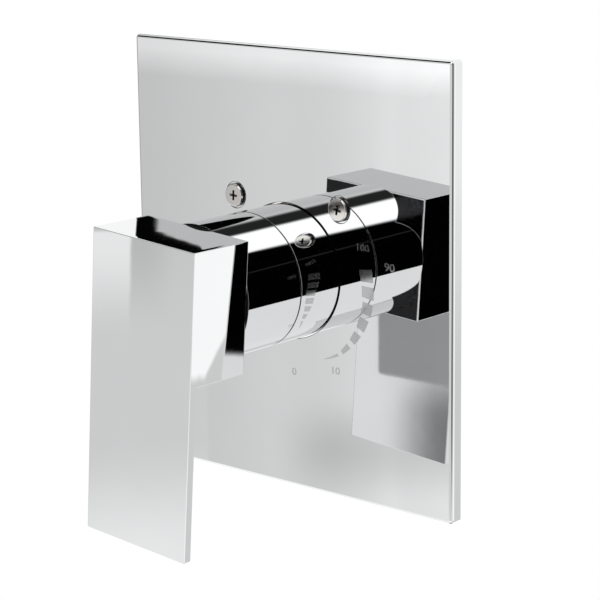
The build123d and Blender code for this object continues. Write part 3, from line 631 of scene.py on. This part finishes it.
# Cards of the studio, as the chrome shows them. Azimuth is in degrees from -Y towards +X, elevation upwards.
# Each has the range of both, the width of its soft edges, and its display level.
CARDS = [
    ("ceiling", (-200.0, 200.0), (76.0, 100.0), (1.0, 12.0), 196),
    ("underneath", (-200.0, 200.0), (-100.0, -62.0), (1.0, 16.0), 176),
    ("front", (-31.0, 27.0), (-24.0, 22.0), (7.0, 6.0), 232),
    ("right floor", (80.0, 178.0), (-58.0, -12.0), (8.0, 8.0), 228),
    ("back left", (-179.0, -116.0), (-46.0, 3.0), (1.0, 8.0), 338),
    ("back left shade", (-150.0, -141.9), (-22.0, -15.4), (1.6, 1.6), 178),
    ("left wall", (-116.0, -31.0), (-19.0, 44.0), (10.0, 3.0), 228),
    ("far left wall", (-125.0, -55.0), (-30.0, 44.0), (8.0, 6.0), 178),
    ("front floor", (-74.0, 74.0), (-56.0, -19.5), (12.0, 3.0), 281),
    ("floor shade", (-45.0, -27.0), (-36.0, -28.0), (9.0, 6.0), 245),
    ("dark gap", (-29.5, -11.5), (28.0, 70.0), (6.0, 6.0), 50),
    ("top light", (-9.0, 22.5), (30.0, 74.0), (5.0, 4.0), 336),
    ("camera side, far", (38.0, 96.0), (-17.0, 36.0), (12.0, 4.0), 165),
    ("camera side, near", (38.0, 62.0), (-17.0, 36.0), (14.0, 4.0), 100),
    ("camera side, high", (24.0, 46.0), (0.0, 38.0), (4.0, 0.5), 9),
    ("camera side, low", (34.5, 45.0), (-20.15, 0.2), (1.0, 0.25), 9),
    ("table edge", (33.0, 46.0), (19.3, 20.9), (4.0, 0.8), 42),
]


def right_wall(azimuth, elevation):
    """Card beside the hub, whose foot curves up at its far edge."""
    foot = (azimuth - 138.3).at_least(0.0) * 2.2 - 20.9
    side = azimuth.within(92.0, 139.0, 0.4) * (1 - elevation.between(43.8, 44.2))
    return side * (elevation - foot).between(-0.15, 0.15)


def hood(azimuth, elevation):
    """Dark part over the front left, whose lower edge climbs to the right. The hub's top mirrors it."""
    rise = azimuth + 42.1
    edge = rise * 0.3 + rise.at_least(0.0) * 1.1 + 17.56
    over = (elevation - edge).between(-0.06, 0.06) * azimuth.within(-62.0, -30.0, 2.0)
    over = over.at_least(azimuth.within(-62.0, -43.38, 0.2) * elevation.between(13.5, 15.5))
    return over * (1 - elevation.between(50, 60))


def front_tone(azimuth, elevation):
    """Level of the wall behind the camera's left, which the plate and the lever mirror."""
    level = azimuth.ramp(-45.0, -37.0) * 38 + 219
    level = level + (elevation + azimuth * 0.092).ramp(-11.05, -10.32) * 32
    level = level - elevation.within(-17.8, -16.2, 1.6) * azimuth.between(-42.0, -40.0) * 27
    level = level - azimuth.within(-41.2, -39.6, 1.2) * 5 + azimuth.within(-38.9, -38.3, 0.5) * 4
    fade = elevation.between(-13.9, -11.2)
    strip = 1 - (azimuth - elevation * 0.05).between(-44.93, -44.8)
    lever = (1 - elevation.between(-19.7, -16.4)) * 32 + 230
    lever = lever + fade * (strip * 32 + (1 - strip) * (azimuth.between(-45.1, -43.9) * 16 - 22))
    blade = (1 - azimuth.between(-43.72, -43.6)) * (1 - elevation.between(-11.02, -10.9))
    return level * (1 - blade) + lever * blade


def build_tent():
    """A wide dome that only the metal sees, painted as the light tent round the object."""
    deselect()
    bpy.ops.mesh.primitive_uv_sphere_add(segments=64, ring_count=32, radius=30.0)
    tent = named("light_tent")
    finish = Finish("light_tent")
    x, y, z = finish.parts()
    azimuth = finish.node("ShaderNodeMath", {"operation": "ARCTAN2"}, {0: x, 1: 0.0 - y}) * math.degrees(1)
    reach = finish.node("ShaderNodeVectorMath", {"operation": "LENGTH"}, {0: finish.place}, "Value")
    elevation = finish.node("ShaderNodeMath", {"operation": "ARCSINE"}, {0: z / reach}) * math.degrees(1)
    level = elevation.ramp(-60, 60) * 14 + 262
    for _, (left, right), (low, high), (side_edge, end_edge), shade in CARDS:
        mask = azimuth.within(left, right, side_edge) * elevation.within(low, high, end_edge)
        level = level * (1 - mask) + mask * shade
    for mask, shade in (
            (right_wall(azimuth, elevation), 282), (hood(azimuth, elevation), 14),
            (azimuth.within(-48.5, -35.5, 1.0) * elevation.within(-20.6, -5.2, 0.6), front_tone(azimuth, elevation))):
        level = level * (1 - mask) + mask * shade
    glow = finish.node("ShaderNodeEmission", {}, {"Strength": (level / 255) ** 2.2})
    output = finish.tree.nodes["Material Output"]
    finish.tree.links.new(glow.socket, output.inputs["Surface"])
    tent.data.materials.append(finish.material)
    for ray in ("camera", "diffuse", "shadow", "transmission", "volume_scatter"):
        setattr(tent, "visible_" + ray, False)


def build_studio():
    scene = bpy.context.scene
    scene.view_settings.view_transform = "Standard"
    world = bpy.data.worlds.new("studio")
    world.use_nodes = True
    scene.world = world
    tree = world.node_tree
    sky = tree.nodes["Background"]
    rays = tree.nodes.new("ShaderNodeLightPath")
    level = tree.nodes.new("ShaderNodeMapRange")
    level.inputs["To Min"].default_value = 0.62
    level.inputs["To Max"].default_value = 1.0
    tree.links.new(rays.outputs["Is Camera Ray"], level.inputs["Value"])
    tree.links.new(level.outputs[0], sky.inputs["Strength"])
    sky.inputs["Color"].default_value = (1.0, 1.0, 1.0, 1.0)
    for name, spot, size, power in (("key", (-1.1, -1.3, 1.5), 1.0, 26.0), ("fill", (1.4, -0.9, 0.7), 0.9, 9.0),
                                    ("rear", (0.5, 1.5, 1.1), 1.0, 16.0)):
        lamp = bpy.data.lights.new(name, "AREA")
        lamp.size, lamp.energy = size, power
        holder = bpy.data.objects.new(name, lamp)
        scene.collection.objects.link(holder)
        holder.location = spot
        holder.rotation_euler = (-Vector(spot)).to_track_quat("-Z", "Y").to_euler()
        holder.visible_glossy = False
    deselect()
    bpy.ops.mesh.primitive_plane_add(size=14.0, location=(0, 0, -0.34))
    floor = settled(named("floor"))
    finish = Finish("floor", base_color=(0.9, 0.9, 0.9), roughness=0.9)
    output = finish.tree.nodes["Material Output"]
    ray = finish.node("ShaderNodeLightPath", {}, {}, "Is Camera Ray")
    white = finish.node("ShaderNodeEmission", {}, {"Strength": 1.3})
    shader = finish.tree.nodes.new("ShaderNodeMixShader")
    finish.tree.links.new((ray * 0.75).socket, shader.inputs[0])
    finish.tree.links.new(finish.surface.outputs[0], shader.inputs[1])
    finish.tree.links.new(white.socket, shader.inputs[2])
    finish.tree.links.new(shader.outputs[0], output.inputs["Surface"])
    floor.data.materials.append(finish.material)
    floor.visible_glossy = False
    deselect()
    bpy.ops.mesh.primitive_plane_add(size=6.0, location=at(0, 0.4, 0), rotation=(math.pi / 2, 0, 0))
    wall = settled(named("finished_wall"))
    finish = Finish("finished_wall")
    back = finish.node("ShaderNodeNewGeometry", {}, {}, "Backfacing")
    clear = finish.node("ShaderNodeBsdfTransparent", {}, {})
    white = finish.node("ShaderNodeEmission", {}, {"Strength": 1.0})
    shader = finish.tree.nodes.new("ShaderNodeMixShader")
    for spot, term in enumerate((back, white, clear)):
        finish.tree.links.new(term.socket, shader.inputs[spot])
    finish.tree.links.new(shader.outputs[0], finish.tree.nodes["Material Output"].inputs["Surface"])
    wall.data.materials.append(finish.material)
    for ray in ("glossy", "diffuse", "shadow", "transmission", "volume_scatter"):
        setattr(wall, "visible_" + ray, False)


# ---------------------------------------------------------------- trim

def make_trim_plate():
    """A shallow pan pressed from sheet, with dimples for its screws and a collar round its hole."""
    half_x, half_z = PLATE_WIDTH / 2, PLATE_HEIGHT / 2
    pan = block("trim_plate", (-half_x, PLATE_FACE, -half_z), (half_x, 0, half_z))
    bpy.ops.object.mode_set(mode="EDIT")
    choose(pan, "edges", lambda edge: abs(edge.verts[0].co.y - edge.verts[1].co.y) > MM)
    bpy.ops.mesh.bevel(offset=PLATE_CORNER * MM, segments=6)
    choose(pan, "edges", lambda edge: all(vertex.co.y < PLATE_FACE * MM + 1e-6 for vertex in edge.verts))
    bpy.ops.mesh.bevel(offset=PLATE_EDGE * MM, segments=8)
    choose(pan, "faces", lambda face: all(vertex.co.y > -1e-6 for vertex in face.verts))
    bpy.ops.mesh.delete(type="FACE")
    bpy.ops.object.mode_set(mode="OBJECT")
    modify(pan, "SOLIDIFY", thickness=PLATE_SHEET * MM, offset=-1, use_even_offset=True)
    back = PLATE_FACE + PLATE_SHEET
    seat = PLATE_FACE + DIMPLE_DEPTH
    add(pan, rod("collar", CENTRE_HOLE + PLATE_SHEET, back - 0.4, back + COLLAR_DEPTH))
    for side in (-1, 1):
        x = side * SCREW_X
        add(pan, rod("dimple_back", DIMPLE_RADIUS + PLATE_SHEET, back - 0.4, seat + PLATE_SHEET, x, SCREW_Z, 96))
        cut(pan, rod("dimple", DIMPLE_RADIUS, PLATE_FACE - 1, seat, x, SCREW_Z, 96),
            rod("hole", SCREW_HOLE, PLATE_FACE - 1, 1, x, SCREW_Z, 64))
    cut(pan, rod("centre", CENTRE_HOLE, PLATE_FACE - 1, 4))
    bpy.ops.object.mode_set(mode="EDIT")
    choose(pan, "edges", lambda edge: all(
        vertex.co.y < (PLATE_FACE + 0.01) * MM and min(abs(
            math.hypot(vertex.co.x - side * SCREW_X * MM, vertex.co.z - SCREW_Z * MM) - DIMPLE_RADIUS * MM)
            for side in (-1, 1)) < 0.01 * MM for vertex in edge.verts))
    bpy.ops.mesh.bevel(offset=0.32 * MM, segments=4)
    bpy.ops.object.mode_set(mode="OBJECT")
    eased(pan, 0.1, 2, 50.0)
    polished(pan)
    return finished(pan, "polished_chrome", "valve", "trim_plate", material=PLATE_CHROME)


def make_dial():
    """Frosted figures and a tapered scale, a few hundredths of a millimetre proud."""
    marks = []
    for number, segment in enumerate(SEGMENTS):
        (first, first_in, first_out), (last, last_in, last_out) = segment
        spots = [(first, first_in), (first, first_out), ((first + last) / 2, (first_out + last_out) / 2),
                 (last, last_out), (last, last_in), ((first + last) / 2, (first_in + last_in) / 2)]
        corners = [(radius * math.sin(math.radians(angle)), -radius * math.cos(math.radians(angle)))
                   for angle, radius in spots]
        marks.append(tile(f"segment_{number}", corners, MARK_FRONT, MARK_BACK))
    for figure, x, z, height in FIGURES:
        deselect()
        bpy.ops.object.text_add()
        text = named("figure")
        text.data.body, text.data.size = figure, height * MM / CAPITAL_HEIGHT
        text.data.align_x, text.data.align_y = "CENTER", "CENTER"
        text.data.extrude = (MARK_BACK - MARK_FRONT) / 2 * MM
        text.data.offset = 0.07 * MM
        bpy.ops.object.convert(target="MESH")
        mark = bpy.context.object
        mark.scale.x = FIGURE_STRETCH
        mark.rotation_euler = (math.pi / 2, 0, 0)
        mark.location = at(x, (MARK_FRONT + MARK_BACK) / 2, z)
        settled(mark)
        bpy.ops.object.mode_set(mode="EDIT")
        bpy.ops.mesh.select_all(action="SELECT")
        bpy.ops.mesh.remove_doubles(threshold=1e-6)
        bpy.ops.mesh.normals_make_consistent(inside=False)
        bpy.ops.object.mode_set(mode="OBJECT")
        marks.append(mark)
    return finished(joined("dial_marks", *marks), "polished_chrome", "valve", material=ETCHED)


def make_sleeve():
    inner = TUBE_RADIUS - SLEEVE_WALL
    lip = inner - SLEEVE_RETURN
    sleeve = turned("sleeve", [
        (SLEEVE_FRONT, TUBE_RADIUS), (SLEEVE_BACK, TUBE_RADIUS), (SLEEVE_BACK, inner),
        (SLEEVE_FRONT + SLEEVE_WALL, inner), (SLEEVE_FRONT + SLEEVE_WALL, lip), (SLEEVE_FRONT, lip)], steps=192)
    return finished(polished(eased(sleeve, 0.16)), "polished_chrome", "valve", "sleeve", material=TUBE_CHROME)


def make_skirt():
    inner = TUBE_RADIUS - SKIRT_WALL
    skirt = turned("handle_skirt", [
        (SKIRT_BACK, TUBE_RADIUS), (HUB_BACK, TUBE_RADIUS), (HUB_BACK, SKIRT_BORE),
        (HUB_BACK + SKIRT_WEB, SKIRT_BORE), (HUB_BACK + SKIRT_WEB, inner), (SKIRT_BACK, inner)], steps=192)
    for side in (-1, 1):
        cut(skirt, rod("hole", POST_BORE, HUB_BACK - 1, HUB_BACK + SKIRT_WEB + 1, side * POST_OFFSET, sides=32))
    eased(tilted(skirt), 0.16)
    return finished(polished(skirt), "polished_chrome", "handle", "handle_skirt", material=TUBE_CHROME)


def make_lever():
    """Square hub and blade in one casting, cored from behind. The wheel has crowned its top a little."""
    half, front, top = HUB_WIDTH / 2, HUB_FRONT, HUB_TOP - CROWN
    lever = bar("handle_lever", [
        (front, top), (HUB_BACK, top), (HUB_BACK, HUB_BOTTOM), (LEVER_BACK, HUB_BOTTOM),
        (LEVER_BACK, LEVER_BOTTOM), (front, LEVER_BOTTOM)], -half, half)
    pick(lever)
    bpy.ops.object.mode_set(mode="EDIT")
    choose(lever, "edges", lambda edge: all(vertex.co.z < (LEVER_BOTTOM + 0.1) * MM for vertex in edge.verts)
           and abs(edge.verts[0].co.y - edge.verts[1].co.y) > MM)
    bpy.ops.mesh.bevel(offset=0.9 * MM, segments=5)
    choose(lever, "edges", lambda edge: all((vertex.co.yz - Vector((LEVER_BACK, HUB_BOTTOM)) * MM).length < 0.1 * MM
                                            for vertex in edge.verts))
    bpy.ops.mesh.bevel(offset=0.8 * MM, segments=5)
    choose(lever, "edges", lambda edge: all(vertex.co.y > (HUB_BACK - 0.1) * MM for vertex in edge.verts)
           and max(vertex.co.z for vertex in edge.verts) > 0)
    bpy.ops.mesh.bevel(offset=0.7 * MM, segments=5)
    bpy.ops.object.mode_set(mode="OBJECT")
    eased(lever, 0.32, 3, 60.0)
    bpy.ops.object.mode_set(mode="EDIT")
    choose(lever, "faces", lambda face: face.calc_area() > 500 * MM * MM and face.normal.z > 0.9)
    bpy.ops.mesh.inset(thickness=CROWN_RIM * MM, depth=CROWN * MM, use_individual=True)
    bpy.ops.object.mode_set(mode="OBJECT")
    pocket = rod("pocket", POCKET_RADIUS, POCKET_FLOOR, HUB_BACK + 1)
    cut(pocket, rod("boss", BOSS_RADIUS, POCKET_FLOOR - 1, HUB_BACK + 2))
    for side in (-1, 1):
        cut(pocket, rod("post", POST_RADIUS, POCKET_FLOOR - 1, HUB_BACK + 2, side * POST_OFFSET, sides=48))
    cut(lever, pocket, rod("bore", ADAPTER_BORE, ADAPTER_FLOOR, HUB_BACK + 1, sides=96))
    for side in (-1, 1):
        cut(lever, rod("screw_hole", POST_BORE, POST_FLOOR, HUB_BACK + 1, side * POST_OFFSET, sides=32))
    hole = turned_about(rod("set_screw_hole", SET_SCREW_BORE, -60, 0, sides=48), 90, "X")
    hole.data.transform(Matrix.Translation(at(0, SET_SCREW_STATION, 0)))
    cut(lever, hole)
    return finished(polished(tilted(lever)), "polished_chrome", "handle", "handle_lever", material=LEVER_CHROME)


def make_plate_screws():
    """Pan heads with a cross recess, on a shank with its thread."""
    seat = PLATE_FACE + DIMPLE_DEPTH
    crown = seat - SCREW_HEAD_HEIGHT
    root = SCREW_SHANK - SCREW_THREAD_DEPTH
    screw = turned("plate_screw_hot", [
        (crown, 0), (crown, SCREW_HEAD_RADIUS - 0.5), (crown + 0.5, SCREW_HEAD_RADIUS), (seat, SCREW_HEAD_RADIUS),
        (seat, root), (SCREW_END - 0.6, root), (SCREW_END, root - 0.6), (SCREW_END, 0)], steps=64, closed=False)
    eased(screw, 0.14)
    for turn in (0, 90):
        blade = bar("blade", [(crown - 0.5, -RECESS_REACH - 0.2), (crown - 0.5, RECESS_REACH + 0.2),
                              (crown + RECESS_DEPTH, RECESS_REACH - 1.2), (crown + RECESS_DEPTH, 1.2 - RECESS_REACH)],
                    -RECESS_WIDTH / 2, RECESS_WIDTH / 2)
        cut(screw, turned_about(blade, turn, "Y"))
    screw = joined("plate_screw_hot", polished(screw), polished(thread(
        "screw_thread", root, SCREW_SHANK, SCREW_PITCH, seat + 12.0, SCREW_END - 0.5)))
    other = copied(screw, "plate_screw_cold")
    for piece, turn, side in ((screw, 3, -1), (other, 12, 1)):
        turned_about(piece, turn, "Y")
        piece.data.transform(Matrix.Translation(at(side * SCREW_X, 0, SCREW_Z)))
    finished(screw, "chromed_screw", "valve", "plate_screws")
    finished(other, "chromed_screw", "valve")


def along(piece, direction):
    """Turn a piece made along Y to point along another axis, through the ports' centre."""
    turns = {"+Z": (90, "X"), "-Z": (-90, "X"), "+X": (-90, "Z"), "-X": (90, "Z")}
    degrees, axis = turns[direction]
    turned_about(piece, degrees, axis)
    piece.data.transform(Matrix.Translation(at(0, PORTS, 0)))
    return piece


def port_sizes():
    return [("+Z", OUTLET_REACH, OUTLET_PASSAGE), ("-Z", OUTLET_REACH, OUTLET_PASSAGE),
            ("+X", INLET_REACH, INLET_PASSAGE), ("-X", INLET_REACH, INLET_PASSAGE)]


def make_valve_body():
    """Sand casting with soft inner corners, then its machined faces, bores and threads."""
    body = turned("valve_body", [
        (BODY_FRONT, 0), (BODY_FRONT, BARREL_RADIUS + 0.4), (BARREL_BACK - BARREL_BEVEL, BARREL_RADIUS),
        (BARREL_BACK, BARREL_RADIUS - BARREL_BEVEL), (BARREL_BACK, 0)], closed=False)
    for direction, reach, _ in port_sizes():
        add(body, along(rod("boss", PORT_BOSS, 0, reach, sides=96), direction),
            along(rod("rim", PORT_RIM, reach - PORT_RIM_LENGTH, reach + FACING_SPARE, sides=96), direction))
    slope = math.degrees(math.atan2(SCREW_Z, SCREW_X))
    reach = math.hypot(SCREW_X, SCREW_Z)
    for side in (-1, 1):
        web = block("web", (0, EAR_WEB_FRONT, -EAR_WEB / 2), (reach, EAR_BACK, EAR_WEB / 2))
        add(body, rod("stop_boss", STOP_BOSS, STOP_FRONT, STOP_BACK, side * STOP_X, sides=96),
            rod("ear", EAR_RADIUS, EAR_FRONT - FACING_SPARE, EAR_BACK, side * SCREW_X, SCREW_Z, sides=64),
            turned_about(web, -slope if side > 0 else slope - 180, "Y"))
    modify(body, "REMESH", mode="VOXEL", voxel_size=CASTING_GRID * MM)
    modify(body, "SMOOTH", factor=0.5, iterations=CASTING_SMOOTHING)
    modify(body, "DECIMATE", ratio=CASTING_KEPT)
    for direction, reach, _ in port_sizes():
        cut(body, along(rod("facing", 2 * PORT_RIM, reach, reach + 10), direction))
    for side in (-1, 1):
        cut(body, rod("ear_facing", 2 * EAR_RADIUS, 20, EAR_FRONT, side * (SCREW_X + 8), SCREW_Z + 8))
    cut(body, rod("front", 29.0, 10, BODY_THREAD_END))
    barrel_root = BODY_THREAD - BODY_THREAD_DEPTH
    add(body, turned("thread_barrel", [
        (BODY_FRONT, 0), (BODY_FRONT, barrel_root - 0.5), (BODY_FRONT + 0.6, barrel_root),
        (BODY_THREAD_END, barrel_root), (BODY_THREAD_END, 21), (BODY_THREAD_END + 1, 21),
        (BODY_THREAD_END + 1, 0)], closed=False))
    cut(body, turned("chamber", [
        (BODY_FRONT - 1, 0), (BODY_FRONT - 1, FLANGE_BORE), (FLANGE_SEAT, FLANGE_BORE),
        (FLANGE_SEAT, CHAMBER_RADIUS), (CHAMBER_FLOOR, CHAMBER_RADIUS), (CHAMBER_FLOOR, 0)], closed=False))
    for side in (-1, 1):
        cut(body, rod("stop_bore", STOP_BORE, STOP_FRONT - 3, STOP_FLOOR, side * STOP_X),
            rod("ear_bore", EAR_BORE, EAR_FRONT - 3, EAR_BACK + 3, side * SCREW_X, SCREW_Z, sides=48))
    root = PORT_THREAD + INSIDE_THREAD_DEPTH
    for direction, reach, passage in port_sizes():
        inner = reach - PORT_THREAD_LENGTH
        mouth = turned("mouth", [(reach + 1, 0), (reach + 1, root + 1.6), (reach - 0.9, root), (inner, root),
                                 (inner - 1.5, passage), (9, passage), (9, 0)], closed=False)
        cut(body, along(mouth, direction))
    polished(body, 32.0)
    threads = [polished(thread(
        "body_thread", barrel_root, BODY_THREAD, BODY_PITCH, BODY_FRONT + 0.6, BODY_THREAD_END - 1, 64))]
    for direction, reach, _ in port_sizes():
        ridge = thread("port_thread", root, PORT_THREAD - PORT_THREAD_CREST, PIPE_PITCH,
                       reach - PORT_THREAD_LENGTH + 1, reach - 0.4, 48)
        threads.append(polished(along(ridge, direction)))
    return finished(joined("valve_body", body, *threads), "cast_brass", "valve", "valve_body")


def make_bonnet_nut():
    """Hexagon nut and bonnet in one turning, with its ring groove and inside thread."""
    nut = turned_about(rod("bonnet_nut", NUT_FLATS / math.sqrt(3), NUT_FRONT, NUT_BACK, sides=6), 30, "Y")
    chamfer = turned("chamfer", [
        (NUT_FRONT, 0), (NUT_FRONT, NUT_FLATS / 2 - 0.4), (NUT_FRONT + 1.9, NUT_CORNER), (NUT_BACK - 1.9, NUT_CORNER),
        (NUT_BACK, NUT_FLATS / 2 - 0.4), (NUT_BACK, 0)], closed=False)
    modify(nut, "BOOLEAN", operation="INTERSECT", object=chamfer, solver="EXACT")
    bpy.data.objects.remove(chamfer)
    add(nut, rod("bonnet", BONNET_RADIUS, BONNET_FRONT, NUT_FRONT + 1))
    root = BODY_THREAD + INSIDE_THREAD_DEPTH
    cut(nut, turned("bores", [
        (BONNET_FRONT - 1, 0), (BONNET_FRONT - 1, BONNET_BORE), (NUT_FRONT, BONNET_BORE), (NUT_FRONT, NUT_LIP_BORE),
        (NUT_SEAT, NUT_LIP_BORE), (NUT_SEAT, root), (NUT_BACK + 1, root), (NUT_BACK + 1, 0)], closed=False))
    groove = rod("groove", 40, RING_STATION - RING_GROOVE / 2, RING_STATION + RING_GROOVE / 2)
    cut(groove, rod("root", RING_ROOT, RING_STATION - 5, RING_STATION + 5))
    cut(nut, groove)
    eased(nut, 0.2, 2, 50.0)
    ridge = thread("nut_thread", root, BODY_THREAD, BODY_PITCH, NUT_SEAT + 0.5, NUT_BACK, 64)
    return finished(joined("bonnet_nut", polished(nut), polished(ridge)), "turned_brass", "valve", "bonnet_nut")


def make_stop_retainers():
    """Stop retainers, as plain rings with a spanner slot across the front; their thread is left out."""
    ring = turned("retainer_hot", [
        (STOP_FRONT, RETAINER_OPENING), (STOP_FRONT, RETAINER_RADIUS), (RETAINER_BACK, RETAINER_RADIUS),
        (RETAINER_BACK, RETAINER_OPENING)], steps=64)
    eased(ring, 0.2, 2)
    cut(ring, block("slot", (-9, STOP_FRONT - 1, -0.9), (9, STOP_FRONT + 1.4, 0.9)))
    polished(turned_about(ring, 25, "Y"))
    other = copied(ring, "retainer_cold")
    for piece, side in ((ring, -1), (other, 1)):
        piece.data.transform(Matrix.Translation(at(side * STOP_X, 0, 0)))
    finished(ring, "turned_brass", "valve", "stop_retainers")
    return finished(other, "turned_brass", "valve")


def make_tub_plug():
    """Threaded plug with a hexagon socket, in the lower outlet."""
    front, back = OUTLET_REACH - TUB_PLUG_LENGTH, OUTLET_REACH
    root = TUB_PLUG_RADIUS - PLUG_THREAD_DEPTH
    plug = turned("tub_port_plug", [(front, 0), (front, root - 0.8), (front + 0.8, root), (back - 0.6, root),
                                    (back, root - 0.6), (back, 0)], steps=96, closed=False)
    cut(plug, rod("socket", TUB_PLUG_SOCKET / math.sqrt(3), back - TUB_PLUG_DEPTH, back + 1, sides=6),
        turned("lead", [(back - 0.5, 0), (back - 0.5, TUB_PLUG_SOCKET / 2), (back + 0.5, TUB_PLUG_SOCKET / 2 + 1.2),
                        (back + 0.5, 0)], steps=96, closed=False))
    ridge = thread("plug_thread", root, TUB_PLUG_RADIUS, PIPE_PITCH, front + 0.5, back - 0.6, 48)
    plug = joined("tub_port_plug", polished(eased(plug, 0.12, 2, 50.0)), polished(ridge))
    return finished(along(plug, "-Z"), "turned_brass", "valve", "tub_port_plug")


place_camera()
build_studio()
build_tent()
make_trim_plate()
make_dial()
make_sleeve()
make_skirt()
make_lever()
make_plate_screws()
make_valve_body()
make_bonnet_nut()
make_stop_retainers()
make_tub_plug()

for subpart in frame["record"]["subparts"]:
    for slot in frame["nodes"][subpart["node"]].material_slots:
        slot.material = FINISHES[subpart["material_slot"]]
